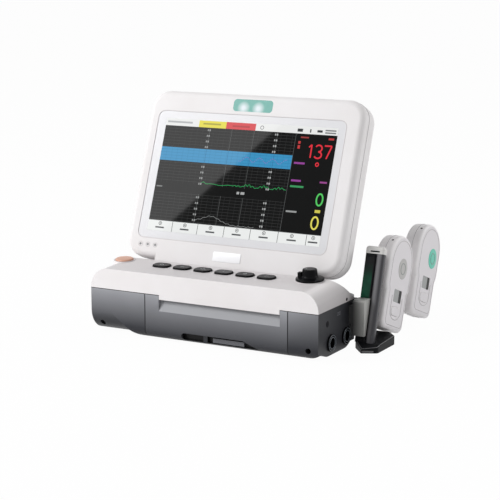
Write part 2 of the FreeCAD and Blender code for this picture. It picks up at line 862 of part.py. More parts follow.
def neck_solid(name, inset):
    side = [
        (lid_front + inset, lid_low + lid_front_edge * 2),
        (lid_front + inset, -3, 4),
        (-12 + inset / 2, -neck_drop + inset, 6),
        (neck_back - inset, -neck_drop + inset, neck_back - inset - 2),
        (neck_back - inset, lid_low + lid_front_edge * 2),
    ]
    return prism(name, "YZ", side, -neck_width / 2 + inset, neck_width - inset * 2)


lid_hollow = cut(
    "lid_hollow",
    fuse("lid_outer", lid_solid("lid_block", as_size(0)), neck_solid("neck_block", as_size(0))),
    fuse("lid_inner", lid_solid("lid_room", lid_wall), neck_solid("neck_room", lid_wall)),
)
split = lid_front + lid_split
far_out = 400
front_half = box("front_half", (-far_out, -far_out, -far_out), (far_out, split, far_out))
back_half = box("back_half", (-far_out, split, -far_out), (far_out, far_out, far_out))
panel_left = panel_shift - panel_width / 2
panel_right = panel_shift + panel_width / 2
panel_top = panel_low + panel_height
panel_gap = 0.3
panel_rim = rounded(
    panel_left - panel_gap, panel_right + panel_gap,
    panel_low - panel_gap, panel_top + panel_gap, panel_corner + panel_gap,
)
panel_hole = prism("panel_hole", "XZ", panel_rim, lid_front - 1, lid_wall + 2)
lamp_face = rounded(
    lamp_shift - lamp_width / 2, lamp_shift + lamp_width / 2, lamp_low, lamp_low + lamp_height, 5,
)
lamp_hole = prism("lamp_hole", "XZ", lamp_face, lid_front - 1, lid_wall + 2)
led_holes = []
leds = []
for i in range(3):
    spot = (led_first + led_pitch * i, lid_front, led_low)
    led_holes.append(rod("led_hole", "Y", spot, led_radius, lid_wall * 2))
    leds.append(rod("led", "Y", spot, led_radius, lid_wall + 3))
pin_holes = []
for side in (-1, 1):
    start = neck_width / 2 - lid_wall * 2 if side > 0 else -neck_width / 2 - lid_wall
    pin_holes.append(rod("pin_hole", "X", (start, 0, 0), pin_radius, lid_wall * 3))
bezel = cut("bezel", common("lid_face", lid_hollow, front_half), panel_hole, lamp_hole, *led_holes)
node("lid_bezel", on_lid(bezel))
node("lid_back", on_lid(cut("back_shell", common("lid_rear", lid_hollow, back_half), *pin_holes)))
glass = prism(
    "glass", "XZ", rounded(panel_left, panel_right, panel_low, panel_top, panel_corner),
    lid_front + panel_gap, panel_thick,
)
node("screen_glass", on_lid(glass))
lcd_front = lid_front + panel_gap + panel_thick
lcd_case = box(
    "lcd_case",
    (panel_left - 6, lcd_front, panel_low - 5),
    (panel_right + 6, lcd_front + lcd_thick, panel_top + 1),
)
driver = box(
    "driver", (panel_left + 60, lcd_front + lcd_thick, panel_low + 30),
    (panel_right - 60, lcd_front + lcd_thick + 8, panel_low + 120),
)
node("lcd_panel", on_lid(group("lcd_set", lcd_case, driver)))
lamp_lens = prism("lamp_lens", "XZ", lamp_face, lid_front + 0.1, lid_wall + 4)
node("alarm_lamp", on_lid(lamp_lens))
node("status_leds", on_lid(group("led_row", *leds)))
hinge_arms = []
for side, pin in zip((-1, 1), pins):
    start = neck_width / 2 - 16 if side > 0 else -neck_width / 2 + lid_wall
    length = 16 - lid_wall
    arm = box("arm", (start, -6, 0), (start + length, neck_back - lid_wall, lid_low + 40))
    hub = rod("hub", "X", (start, 0, 0), 8, length)
    hinge_arms.append(fuse("hinge_arm", arm, hub, pin))
node("hinge_arms", on_lid(group("arm_pair", *hinge_arms)))

# Paper drawer: front panel with the paper exit and latch pocket, tray, paper and latch
panel_side = [
    (front, seam_height - drawer_gap),
    (front, belly, belly_round),
    (front + drawer_foot, belly),
    (front + drawer_foot, floor),
    (front + drawer_panel, floor),
    (front + drawer_panel, seam_height - drawer_gap),
]
panel_blank = prism(
    "panel_blank", "YZ", panel_side, -drawer_left + drawer_gap, drawer_left + drawer_right - drawer_gap * 2,
)
strip_low = seam_height - exit_drop
strip_top = seam_height - lip_drop - drawer_gap
fall = (strip_top - strip_low) / exit_depth
exit_side = [
    (front - 2, strip_low - fall * 2),
    (front + exit_depth, strip_top),
    (front + drawer_panel + 5, strip_top),
    (front + drawer_panel + 5, seam_height + 5),
    (front - 2, seam_height + 5),
]
paper_exit = prism(
    "paper_exit", "YZ", exit_side, -exit_left - drawer_gap, exit_left + exit_right + drawer_gap * 2,
)
pocket_face = [
    (-latch_left, latch_low, 4.5),
    (latch_tip, latch_low),
    (latch_right, latch_high),
    (-latch_left, latch_high, 4.5),
]
latch_pocket = prism("latch_pocket", "XZ", pocket_face, front - 1, latch_depth + 1)
rib_start = size("rib_start", 2.3)
rib_width = size("rib_width", 6)
latch_rib = box(
    "latch_rib",
    (rib_start, front + 3.5, latch_low - 1),
    (rib_start + rib_width, front + latch_depth + 1, latch_high + 1),
)
tongue_left = latch_start + latch_bar / 3
tongue_right = latch_start + latch_bar * 2 / 3
bar_low = latch_low + 1
bar_high = latch_high - latch_travel - 0.4
tongue_slot = box(
    "tongue_slot",
    (tongue_left - drawer_gap, front + latch_depth - 1, bar_low),
    (tongue_right + drawer_gap, front + drawer_foot + 1, latch_high),
)
drawer_cut = cut("drawer_cut", panel_blank, paper_exit, latch_pocket)
drawer_ribbed = fuse("drawer_ribbed", drawer_cut, latch_rib)
node("drawer_front", cut("drawer_face", drawer_ribbed, tongue_slot))
latch_plate = box(
    "latch_plate",
    (latch_start, front + latch_depth - 3.4, bar_low),
    (latch_start + latch_bar, front + latch_depth - 0.4, bar_high),
)
latch_tongue = box(
    "latch_tongue",
    (tongue_left, front + latch_depth - 1, bar_low + 0.5), (tongue_right, front + drawer_foot, bar_low + 3),
)
node("drawer_latch", fuse("latch", latch_plate, latch_tongue))

drawer_mid = (drawer_right - drawer_left) / 2
tray_left = drawer_mid - paper_width / 2 - 18
tray_right = drawer_mid + paper_width / 2 + 18
runner_top = floor + 1.8
tray_floor = runner_top + 0.3
tray_front = front + drawer_panel
tray_back = tray_front + tray_depth
tray_blank = box(
    "tray_blank", (tray_left, tray_front, tray_floor), (tray_right, tray_back, tray_floor + tray_height),
)
tray_room = box(
    "tray_room",
    (tray_left + tray_wall, tray_front + tray_wall, tray_floor + tray_wall),
    (tray_right - tray_wall, tray_back - tray_wall, tray_floor + tray_height + 1),
)
tray_notch = box(
    "tray_notch",
    (tongue_left - drawer_gap, tray_front - 1, tray_floor - 1),
    (tongue_right + drawer_gap, front + drawer_foot + 1, latch_high),
)
node("drawer_tray", cut("tray", tray_blank, tray_room, tray_notch))
node("paper_pack", box(
    "paper",
    (drawer_mid - paper_width / 2, tray_front + 10, tray_floor + tray_wall),
    (drawer_mid + paper_width / 2, tray_front + 10 + paper_fold, tray_floor + tray_wall + paper_stack),
))
runners = []
for edge in (tray_left + 12, tray_right - 12 - runner_width):
    low = (edge, front + drawer_foot + 3, floor)
    runners.append(box("runner", low, (edge + runner_width, tray_back, runner_top)))
node("drawer_runners", group("runner_pair", *runners))

# Recorder: frame plates beside the drawer, rubber platen, print head, motor and gears
platen_y = front + platen_row
platen_z = platen_rise
frame_left = -drawer_left + 4
frame_right = drawer_right - 7
plate = 2
frame_back = front + hull_depth - 50
shaft_bore = rod("shaft_bore", "X", (-half, platen_y, platen_z), shaft_radius + pin_gap, base_width)
centre_gap = tooth_module * (gear_teeth + pinion_teeth) / 2
train_turn = -60
pinion_y = platen_y + centre_gap * math.cos(math.radians(train_turn))
pinion_z = platen_z + centre_gap * math.sin(math.radians(train_turn))
motor_shaft = 1.5
motor_bore = rod("motor_bore", "X", (frame_right - 1, pinion_y, pinion_z), motor_shaft + pin_gap, plate + 2)
head_front = platen_y + platen_radius + 0.3
head_depth = 9
beam_front = head_front + head_depth
frame_plates = []
for x in (frame_left, frame_right):
    low = (x, front + 15.5, floor)
    frame_plates.append(box("frame_plate", low, (x + plate, frame_back, platen_z + 14)))
beam = box(
    "beam", (frame_left + plate, beam_front, platen_z - 4), (frame_right, beam_front + 3, platen_z + 10),
)
node("recorder_frame", cut("frame_bored", fuse("frame", *frame_plates, beam), shaft_bore, motor_bore))
node("print_head", box(
    "head_bar", (-exit_left, head_front, platen_z - 4), (exit_right - 3, beam_front, platen_z + 12),
))
roller = rod("roller", "X", (-exit_left - 2, platen_y, platen_z), platen_radius, exit_left + exit_right)
gear_x = drawer_right + 1.5
shaft_start = frame_left - 2
shaft_length = gear_x + gear_face + 1 - shaft_start
platen_shaft = rod("platen_shaft", "X", (shaft_start, platen_y, platen_z), shaft_radius, shaft_length)
node("platen_roller", fuse("platen", roller, platen_shaft))
motor_start = frame_right - motor_length
node("feed_motor", rod("motor_can", "X", (motor_start, pinion_y, pinion_z), motor_radius, motor_length))

PRESSURE = math.radians(20)
BACKLASH = 0.12


def tooth_flank(teeth, module, height):
    """Half of the tooth's angle at a height above the pitch circle, on an involute."""
    pitch = module * teeth / 2
    root = pitch * math.cos(PRESSURE)
    radius = max(pitch + height, root)
    roll = math.acos(min(1, root / radius))
    spread = math.tan(roll) - roll
    pitch_spread = math.tan(PRESSURE) - PRESSURE
    return math.pi / (2 * teeth) - BACKLASH * module / pitch - spread + pitch_spread


def gear(name, teeth, spot, bore, phase):
    """A spur gear with involute teeth that turns about X."""
    module = tooth_module.value
    pitch = module * teeth / 2
    heights = [-1.25 * module, -0.6 * module, 0, 0.5 * module, 0.9 * module]
    ring = []
    for k in range(teeth):
        middle = phase + 2 * math.pi * k / teeth
        for side, order in ((-1, heights), (1, heights[::-1])):
            for height in order:
                angle = middle + side * tooth_flank(teeth, module, height)
                radius = pitch + height
                ring.append(V(0, radius * math.cos(angle), radius * math.sin(angle)))
    face = Part.Face(Part.makePolygon(ring + ring[:1]))
    blank = face.extrude(V(gear_face.value, 0, 0))
    hole = Part.makeCylinder(bore.value, gear_face.value, V(0, 0, 0), V(1, 0, 0))
    feature = doc.addObject("Part::Feature", name)
    feature.Shape = blank.cut(hole)
    return place(feature, spot)


to_pinion = math.radians(train_turn)
node("platen_gear", gear("gear_wheel", gear_teeth, (gear_x, platen_y, platen_z), shaft_radius, to_pinion))
pinion_phase = to_pinion + math.pi + math.pi / pinion_teeth
pinion_spot = (gear_x, pinion_y, pinion_z)
pinion = gear("pinion_wheel", pinion_teeth, pinion_spot, as_size(motor_shaft), pinion_phase)
stem_spot = (frame_right + 0.2, pinion_y, pinion_z)
motor_stem = rod("motor_stem", "X", stem_spot, motor_shaft, gear_x + gear_face - frame_right)
node("motor_pinion", fuse("pinion_on_stem", pinion, motor_stem))

# Electronics in the rear body and hull
board_rise = cell_height + 2.5
main_low = floor + board_rise
main_posts = []
board_margin = size("board_margin", 24)
board_front = drawer_panel + tray_depth + 3
board_back = base_depth - 30
board_left = -rear_half + board_margin
board_right = rear_half - board_margin - 18
post_inset = size("post_inset", 7)
for x in (board_left + post_inset, board_right - post_inset):
    for y in (board_front + post_inset, board_back - post_inset):
        main_posts.append(rod("main_post", "Z", (x, front + y, floor), 3, board_rise))
main_plate = box(
    "main_plate",
    (board_left, front + board_front, main_low),
    (board_right, front + board_back, main_low + board_thick),
)
node("main_board", fuse("main", main_plate, *main_posts))
node("power_supply", box(
    "supply",
    (door_right + 20, front + door_front, floor),
    (rear_half - 56, front + door_back, floor + cell_height),
))
speaker_x = -half + size("speaker_inset", 34)
speaker_y = front + hull_depth / 2
cone_radius = size("cone_radius", 20)
magnet_radius = size("magnet_radius", 12)
speaker_profile = [
    (0, 0),
    (magnet_radius, 0),
    (magnet_radius, 8),
    (cone_radius, 18),
    (cone_radius, 22),
    (0, 22),
]
node("speaker", turned("speaker_can", speaker_profile, (speaker_x, speaker_y, floor)))


# Dock: bracket, block, leaning column, floor tray and the rail that carries the probes
dock_left = half + dock_gap
dock_right = dock_left + column_width
rail_thick = dock_gap - 1
block_front = front + column_row - 5
column_foot = front + column_row - 2
block_high = seam_height + 2
block_low = block_high - block_height
tray_high = size("tray_high", 9)
rest_right = dock_left + size("tray_width", 39)
rest_toe = dock_left + size("tray_toe", 20)
rest_front = front + column_row - 22
rest_back = rest_front + tray_length
rest_plan = [
    (dock_left + 2, front + column_row),
    (rest_toe, rest_front),
    (rest_right, rest_front + 10, 4),
    (rest_right, rest_back - 15, 6),
    (rest_right - 14, rest_back),
    (dock_left + 2, rest_back),
]
rest_side = [
    (rest_front - 1, 0),
    (rest_back + 1, 0),
    (rest_back + 1, tray_high * 1.3),
    (column_foot, tray_high),
    (rest_front - 1, tray_high * 0.55),
]
node("dock_tray", common(
    "rest_cut",
    prism("rest_plan", "XY", rest_plan, 0, tray_high * 2),
    prism("rest_side", "YZ", rest_side, dock_left, rest_right - dock_left),
))
lean_run = tangent(column_lean)
block_face = [
    (block_front, block_low),
    (column_foot + (block_low - tray_high) * lean_run, block_low),
    (column_foot + (block_high - tray_high) * lean_run, block_high),
    (block_front, block_high, 3),
]
column_split = size("column_split", 15)
post_left = dock_left + 1 + column_split
block_body = prism("block", "YZ", block_face, dock_left, post_left - dock_left)
bracket = box(
    "bracket",
    (half, front + column_row - 4, seam_height - rail_height + 4),
    (dock_left + 1, front + hull_depth - 4, seam_height - 6),
)
node("dock_block", fuse("block_and_bracket", block_body, bracket))


def on_column(obj):
    return moved(obj, (0, column_foot, tray_high), -column_lean)


column_low = 8
above_tray = prism("above_tray", "YZ", [
    (column_foot - 80, tray_high),
    (column_foot, tray_high),
    (rest_back + 1, tray_high * 1.3),
    (column_foot + 200, tray_high * 1.3),
    (column_foot + 200, far_out),
    (column_foot - 80, far_out),
], as_size(0), as_size(far_out))
window_low = 58
window_right = dock_left + column_split - 1
window_high = column_height - 5
window_room = box("window_room", (dock_left + 2, -1, window_low), (window_right, 1.2, window_high))
column_plan = rounded(dock_left + 1, post_left, 0, column_depth, 2)
post_plan = rounded(post_left, dock_right + 3, 0, column_depth, 3)
column_bar = prism("column_bar", "XY", column_plan, -column_low, column_height + column_low)
post_bar = prism("post_bar", "XY", post_plan, -column_low, column_height + column_low)
node("dock_column", common("column_cut", on_column(cut("column", column_bar, window_room)), above_tray))
node("dock_post", common("post_cut", on_column(post_bar), above_tray))
window_plate = box("window_plate", (dock_left + 2, 0.2, window_low), (window_right, 1.2, window_high))
node("dock_window", on_column(window_plate))
cap_profile = rounded(dock_left + 0.5, dock_right + 3, -0.5, column_depth + 0.5, 3)
cap_block = prism("cap", "XY", cap_profile, column_height, 10)
node("dock_cap", on_column(round_face(cap_block, V(0, 0, 1), as_size(4))))

probe_back = dock_left + 3
rail_far = probe_row + probe_pitch + probe_head / 2 + 8
rail_low = seam_height - rail_height
rail_high = rail_low + rail_height / 2
rail_bar = box(
    "rail_bar",
    (half + 1, front + hull_depth - 4, rail_low),
    (half + 1 + rail_thick, front + rail_far, rail_high),
)
arm_row = base_depth - rear_round - 20
rail_arm = box(
    "rail_arm", (rear_half, front + arm_row, rail_low), (half + 2, front + arm_row + 14, rail_high),
)
pegs = []
for i in range(2):
    peg_y = front + probe_row + probe_pitch * i + peg_rise * sine(dock_lean)
    peg_z = probe_rise + peg_rise * cosine(dock_lean)
    spot = (half + rail_thick, peg_y, peg_z)
    pegs.append(rod("peg", "X", spot, peg_radius, probe_back + 5 - half - rail_thick))
    lug_low = (half + 1, peg_y - 9, rail_low)
    pegs.append(box("peg_lug", lug_low, (half + 1 + rail_thick, peg_y + 9, peg_z + 9)))
node("dock_rail", fuse("rail", rail_bar, rail_arm, *pegs))


# Probes: two shells, a window, a key and the parts inside, built upright and leaned back
def probe_outline(inset):
    tail = probe_tail / 2 - inset
    head = probe_head / 2 - inset
    return [
        (-tail, inset, 10),
        (tail, inset, 10),
        (tail, probe_waist),
        (head, probe_waist + 8, 20),
        (head, probe_length - inset, head - 1),
        (-head, probe_length - inset, head - 1),
        (-head, probe_waist + 8, 20),
        (-tail, probe_waist),
    ]


def probe_solid(name, inset):
    body = prism(name, "YZ", probe_outline(inset), probe_back + inset, probe_thick - inset * 2)
    round_face(body, V(1, 0, 0), probe_edge - inset)
    return round_face(body, V(-1, 0, 0), probe_edge - inset)


probe_face = probe_back + probe_thick
probe_split = probe_back + probe_thick / 2
groove_width = peg_radius + 0.4
groove_wall = groove_width + probe_wall
inner_face = probe_face - probe_wall
hole_depth = probe_wall + 2
view_half = 13
view_low = 38
view_high = 55
push_half = 14
push_low = 20
push_high = 32
push_corner = 5
pane = rounded(-view_half, view_half, view_low, view_high, 2)
push_plan = rounded(-push_half, push_half, push_low, push_high, push_corner)
push_room = rounded(
    -push_half - press_gap, push_half + press_gap,
    push_low - press_gap, push_high + press_gap, push_corner + press_gap,
)
for i, name in enumerate(("near", "far")):
    foot = (0, front + probe_row + probe_pitch * i, probe_rise)
    mass = probe_solid("probe_block", as_size(0))
    hollow = cut("probe_hollow", mass, probe_solid("probe_room", probe_wall))
    rear_space = box("rear_space", (0, -far_out, -far_out), (probe_split, far_out, far_out))
    face_space = box("face_space", (probe_split, -far_out, -far_out), (far_out, far_out, far_out))
    channel = box(
        "channel",
        (probe_back + 1, -groove_wall, 0.5),
        (probe_back + 9, groove_wall, peg_rise + groove_wall),
    )
    channel_wall = common("channel_wall", channel, mass)
    groove_bar = box(
        "groove_bar", (probe_back - 1, -groove_width, -1), (probe_back + 6.5, groove_width, peg_rise),
    )
    groove_end = rod("groove_end", "X", (probe_back - 1, 0, peg_rise), groove_width, 7.5)
    rear_shell = common("probe_rear_half", hollow, rear_space)
    rear_full = fuse("probe_rear_full", rear_shell, channel_wall)
    shell = cut("probe_rear", rear_full, groove_bar, groove_end)
    node(f"{name}_probe_back", moved(shell, foot, -dock_lean))
    view_hole = prism("view_hole", "YZ", pane, inner_face - 1, hole_depth)
    push_hole = prism("push_hole", "YZ", push_room, inner_face - 1, hole_depth)
    face_shell = cut("probe_face", common("probe_front_half", hollow, face_space), view_hole, push_hole)
    node(f"{name}_probe_front", moved(face_shell, foot, -dock_lean))
    view = prism("view", "YZ", pane, inner_face, probe_wall - 0.2)
    node(f"{name}_probe_window", moved(view, foot, -dock_lean))
    push = prism("push", "YZ", push_plan, inner_face - 1, hole_depth)
    node(f"{name}_probe_key", moved(round_face(push, V(1, 0, 0), as_size(0.8)), foot, -dock_lean))
    board = box("probe_board", (inner_face - 5, -24, 14), (inner_face - 2.6, 24, 100))
    cell = box(
        "probe_cell", (probe_back + probe_wall, -20, peg_rise + 14), (inner_face - 5, 20, peg_rise + 44),
    )
    switch = box("probe_switch", (inner_face - 2.8, -3, 24), (inner_face - 2.2, 3, 28))
    node(f"{name}_probe_core", moved(fuse("probe_core", board, cell, switch), foot, -dock_lean))

doc.recompute()

failed = [o.Name for o in doc.Objects if "Invalid" in o.State or "Error" in o.State]
if failed:
    raise SystemExit(f"objects that did not build: {failed}")
for label, obj in NODES.items():
    shape = obj.Shape
    if shape.isNull() or not shape.isValid() or not shape.Solids:
        raise SystemExit(f"{label} has no valid solid")

os.makedirs("parts", exist_ok=True)
for label, obj in NODES.items():
    obj.Shape.exportStep(f"parts/{label}.step")
    bounds = obj.Shape.BoundBox
    print(f"{label}: {len(obj.Shape.Solids)} solid(s), {obj.Shape.Volume / 1000:.1f} cm3, "
          f"{bounds.XLength:.1f} x {bounds.YLength:.1f} x {bounds.ZLength:.1f}")
print(f"{len(NODES)} nodes")
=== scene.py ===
# %% [markdown]
# # A fetal monitor, dressed in Blender
#
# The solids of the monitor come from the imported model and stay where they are. This lesson gives
# each of them a finish and adds the thin things that a maker prints, glues or moulds on last: the
# lit picture, the line round the glass, bare plates, vents, key marks and the probes' badges.

import json

import bmesh
import bpy
import numpy as np
from mathutils import Matrix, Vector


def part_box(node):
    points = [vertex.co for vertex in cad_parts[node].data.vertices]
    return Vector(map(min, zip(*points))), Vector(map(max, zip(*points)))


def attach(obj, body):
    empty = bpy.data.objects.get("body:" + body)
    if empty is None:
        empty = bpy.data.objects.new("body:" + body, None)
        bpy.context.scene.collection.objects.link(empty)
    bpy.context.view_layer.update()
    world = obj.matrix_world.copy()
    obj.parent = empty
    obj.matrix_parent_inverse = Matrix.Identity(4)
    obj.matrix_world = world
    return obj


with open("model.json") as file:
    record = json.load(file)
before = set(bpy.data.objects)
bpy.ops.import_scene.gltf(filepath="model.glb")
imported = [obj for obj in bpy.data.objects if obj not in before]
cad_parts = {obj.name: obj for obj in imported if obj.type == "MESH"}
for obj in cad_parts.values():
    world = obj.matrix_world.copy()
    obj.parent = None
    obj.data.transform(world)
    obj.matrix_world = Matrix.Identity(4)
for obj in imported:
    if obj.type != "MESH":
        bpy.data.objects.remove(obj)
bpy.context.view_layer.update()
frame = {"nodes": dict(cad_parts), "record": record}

# %% [markdown]
# ## The camera
#
# The picture was taken from the right front, a little above the desk, with a long lens. A camera
# could be turned by Euler angles, but three unit vectors, right, up and back, are what a fit of
# known corners gives, so they go straight into the columns of the camera's matrix.

# %% Camera
right = (0.8767, 0.4810, 0.0)
up = (-0.0920, 0.1677, 0.9815)
back = (0.4721, -0.8605, 0.1913)
stand = (1.0094, -1.8739, 0.5148)
lens = bpy.data.cameras.new("camera")
lens.lens = 113.26
lens.sensor_width = 36.0
camera = bpy.data.objects.new("camera", lens)
camera.matrix_world = Matrix([[right[i], up[i], back[i], stand[i]] for i in range(3)] + [[0, 0, 0, 1]])
bpy.context.scene.collection.objects.link(camera)
bpy.context.scene.camera = camera
bpy.context.scene.view_settings.view_transform = "Standard"
print("camera stands at", stand)

# %% [markdown]
# ## Shader sums as Python
#
# A material is a graph of nodes. Wiring it by hand is slow to read, so a small class wraps an output
# socket and lets plus, minus, times and the rest add Math nodes. A second class holds one material
# and has a single method that adds any other node.


# %% Wires and finishes
class Wire:
    """An output socket. Sums with numbers or other wires add Math nodes to its tree."""

    def __init__(self, socket):
        self.socket = socket

    def math(self, operation, first, second, clamp=False):
        """Adds one Math node to the tree; clamp keeps its result between 0 and 1."""
        made = self.socket.id_data.nodes.new("ShaderNodeMath")
        made.operation = operation
        made.use_clamp = clamp
        for spot, value in ((0, first), (1, second)):
            connect(made.inputs[spot], value)
        return Wire(made.outputs[0])

    def __add__(self, other):
        return self.math("ADD", self, other)

    def __sub__(self, other):
        return self.math("SUBTRACT", self, other)

    def __mul__(self, other):
        return self.math("MULTIPLY", self, other)

    def __pow__(self, other):
        return self.math("POWER", self, other)

    def __rsub__(self, other):
        return self.math("SUBTRACT", other, self)

    def over(self, low, high):
        """0 below low, 1 above high and a straight ramp between them."""
        return self.math("MULTIPLY", self - low, 1.0 / (high - low), clamp=True)

    def near(self, place, half, fade):
        """1 up to half away from a place, falling to 0 at fade."""
        return 1.0 - self.math("ABSOLUTE", self - place, 0.0).over(half, fade)

    def most(self, other):
        """The larger of the two."""
        return self.math("MAXIMUM", self, other)


def connect(socket, value):
    """Links a wire to an input, or sets a plain value on it."""
    if isinstance(value, Wire):
        socket.id_data.links.new(value.socket, socket)
    else:
        socket.default_value = value


class Finish:
    """One material: a Principled shader and the nodes that feed it."""

    def __init__(self, name, **constants):
        self.material = bpy.data.materials.new(name)
        self.material.use_nodes = True
        self.tree = self.material.node_tree
        self.shader = self.tree.nodes["Principled BSDF"]
        for socket, value in constants.items():
            self.shader.inputs[socket.replace("_", " ")].default_value = value
        self.spot = self.node("ShaderNodeTexCoord", out=3)

    def node(self, kind, settings=None, sockets=None, out=0):
        """Adds a node of that type: settings first, then values or links of its sockets."""
        made = self.tree.nodes.new(kind)
        for key, value in (settings or {}).items():
            setattr(made, key, value)
        for spot, value in (sockets or {}).items():
            connect(made.inputs[spot], value)
        return Wire(made.outputs[out])

    def blend(self, mask, first, second):
        """Colour first where mask is 0 and second where it is 1."""
        return self.node("ShaderNodeMix", {"data_type": "RGBA"}, {0: mask, 6: first, 7: second}, out=2)

    def cloud(self, scale, detail=2.0):
        """Soft noise of so many bumps to the metre, about 0 to 1."""
        sockets = {"Vector": self.spot, "Scale": scale, "Detail": detail}
        return self.node("ShaderNodeTexNoise", None, sockets)

    def along(self, x, y, z):
        """The sum x X + y Y + z Z of the place on the piece, in metres."""
        return self.dot(self.spot, (x, y, z))

    def facing(self, x, y, z):
        """How far the surface faces a fixed direction of the piece, from -1 to 1."""
        return self.dot(self.node("ShaderNodeTexCoord", out=1), (x, y, z))

    def dot(self, first, second):
        """Dot product of two vectors."""
        product = {"operation": "DOT_PRODUCT"}
        return self.node("ShaderNodeVectorMath", product, {0: first, 1: second}, out=1)

    def feed(self, **wires):
        """Links wires to the shader's sockets, named with _ for a space."""
        for socket, wire in wires.items():
            connect(self.shader.inputs[socket.replace("_", " ")], wire)
        return self

    def grain(self, height, strength, distance):
        """Sends a height to the shader's Normal through a Bump node."""
        sockets = {"Strength": strength, "Distance": distance, "Height": height}
        return self.feed(Normal=self.node("ShaderNodeBump", None, sockets))


def paint(red, green, blue):
    """A colour as a screen shows it, 0 to 255, turned to the linear light that shaders use."""
    share = np.array([red, green, blue], float) / 255.0
    light = np.where(share <= 0.04045, share / 12.92, ((share + 0.055) / 1.055) ** 2.4)
    return (*light.tolist(), 1.0)


print("a mid grey of 128 is", round(paint(128, 128, 128)[0], 3), "in linear light")

# %% [markdown]
# ## Moulded plastic
#
# The case is injection moulded. A spark-eroded mould leaves a fine grain that breaks up the gloss,
# and big panels drift a little in tone. One function gives every moulded finish its two tones, its
# grain and its roughness, so that the white, grey and black pieces differ only in numbers.


# %% Moulded finishes
def moulded(name, tone, drift, rough, grain, depth, **constants):
    """Tone drifts to drift in soft clouds; fine noise roughens it and lifts it by depth metres."""
    made = Finish(name, **constants)
    speck = made.cloud(grain)
    made.tint = made.blend(made.cloud(14.0, 3.0).over(0.3, 0.7), tone, drift)
    spread = 0.16
    made.feed(Base_Color=made.tint, Roughness=speck * spread + (rough - 0.5 * spread))
    return made.grain(speck, 0.35, depth)


block_grey = moulded("dock_light", paint(178, 178, 175), paint(168, 168, 165), 0.45, 1300.0, 0.00005)
cap_light = moulded("cap_light", paint(214, 213, 211), paint(206, 205, 203), 0.45, 1300.0, 0.00004)
plastics = {
    "gear_plastic": (paint(228, 226, 214), paint(218, 215, 200), 0.4, 800.0, 0.00003),
    "rubber": (paint(40, 40, 41), paint(52, 52, 53), 0.75, 700.0, 0.00012),
    "orange_key": (paint(214, 166, 144), paint(206, 156, 133), 0.4, 1100.0, 0.00003),
}
finishes = {name: moulded(name, *numbers) for name, numbers in plastics.items()}
white = (paint(233, 231, 232), paint(228, 225, 225), 0.5, 1400.0, 0.00004)
gloss = (paint(9, 9, 11), paint(14, 14, 16), 0.24, 900.0, 0.00001)
matte = (paint(14, 15, 17), paint(21, 22, 24), 0.5, 1100.0, 0.00006)
pale = (paint(250, 248, 249), paint(245, 242, 243), 0.45, 1600.0, 0.00003)
probe_white = moulded("probe_case", *pale, IOR=1.3)
finishes["probe_case"] = probe_white
finishes["white_case"] = moulded("white_case", *white, IOR=1.22)
finishes["black_gloss"] = moulded("black_gloss", *gloss, IOR=1.16)
finishes["black_matte"] = moulded("black_matte", *matte, IOR=1.2)
print("moulded finishes", sorted(finishes))

# %% [markdown]
# ## Shells with painted shade and light
#
# The flat of the white deck is painted a touch greyer than the band that rolls over its front, as
# painted shade, and its right side deeper still; the probes' faces carry the same painted shade. The
# grey hull is darker on the faces that look to either side. It and the drawer carry painted shade
# low down, under the rolled bottom, at the right end and in the gaps, with painted light on the
# drawer's ramp. Which face is which shows in the direction it faces, so the mask is the surface's own
# normal, and it stays put from every side.

# %% Deck, probes and hull
deck_normal = (0.0, -0.0523, 0.9986)
ramp_normal = (0.0, -0.70, 0.71)
drawer_left, drawer_right, drawer_depth, seam_rise = -0.085, 0.127, -0.150, 0.0614
hair_half, hair_fade = 0.0004, 0.0009
deck_white = moulded("deck_white", paint(238, 235, 236), paint(233, 229, 229), 0.42, 1400.0, 0.00004)
# Painted shade: the deck's upward flat is greyer, and its right-facing side greyer still.
flat = deck_white.facing(*deck_normal).over(0.955, 0.995)
deck_side_shade = deck_white.facing(1.0, 0.0, 0.0).over(0.45, 0.95)
deck_shaded_tone = deck_white.blend(deck_side_shade, deck_white.tint, paint(174, 170, 171))
deck_white.feed(Base_Color=deck_white.blend(flat, deck_shaded_tone, paint(214, 210, 211)))
# Painted shade: the probe's right face, which looks to the side, is greyer than its rims.
probe_face = probe_white.facing(1.0, 0.0, 0.0).over(0.75, 0.98)
probe_white.feed(Base_Color=probe_white.blend(probe_face, probe_white.tint, paint(219, 216, 219)))


def hull_tones(name, foot):
    """Grey with painted shade that deepens from the seam down to a foot height, and painted shade in the
    gaps at the drawer's ends and along the seam.
    """
    made = moulded(name, paint(168, 169, 174), paint(160, 161, 166), 0.4, 1200.0, 0.00005, IOR=1.3)
    x, y, z = (made.along(*axis) for axis in np.eye(3).tolist())
    # Painted shade: darker from the seam down to the foot height.
    made.tint = made.blend((1.0 - z.over(foot, 0.064)) ** 0.75, made.tint, paint(50, 51, 56))
    # Painted shade of the gaps: dark lines at the drawer's two ends and above the seam rise.
    ends = x.near(drawer_left, hair_half, hair_fade).most(x.near(drawer_right, hair_half, hair_fade))
    fronting = 1.0 - y.over(drawer_depth, drawer_depth + 0.002)
    made.hairline = (ends * fronting).most(z.over(seam_rise, seam_rise + 0.0005))
    return made


hull_grey = hull_tones("hull_grey", 0.015)
# Darker on the faces that look to either side.
side = hull_grey.facing(1.0, 0.0, 0.0)
panel = (side * side).over(0.35, 0.8)
# Painted shade on faces that turn down under the rolled bottom edge, and towards the right end.
underside_shade = hull_grey.facing(0.0, 0.0, -1.0).over(0.1, 0.85)
right_end_shade = hull_grey.along(1.0, 0.0, 0.0).over(0.11, 0.17) * 0.4
hull_shade = (underside_shade * 0.8).most(right_end_shade)
grey_shaded = hull_grey.blend(hull_shade, hull_grey.tint, paint(34, 35, 39))
grey_side_shaded = hull_grey.blend(panel, grey_shaded, paint(35, 36, 40))
hull_grey.feed(Base_Color=hull_grey.blend(hull_grey.hairline, grey_side_shaded, paint(26, 26, 29)))

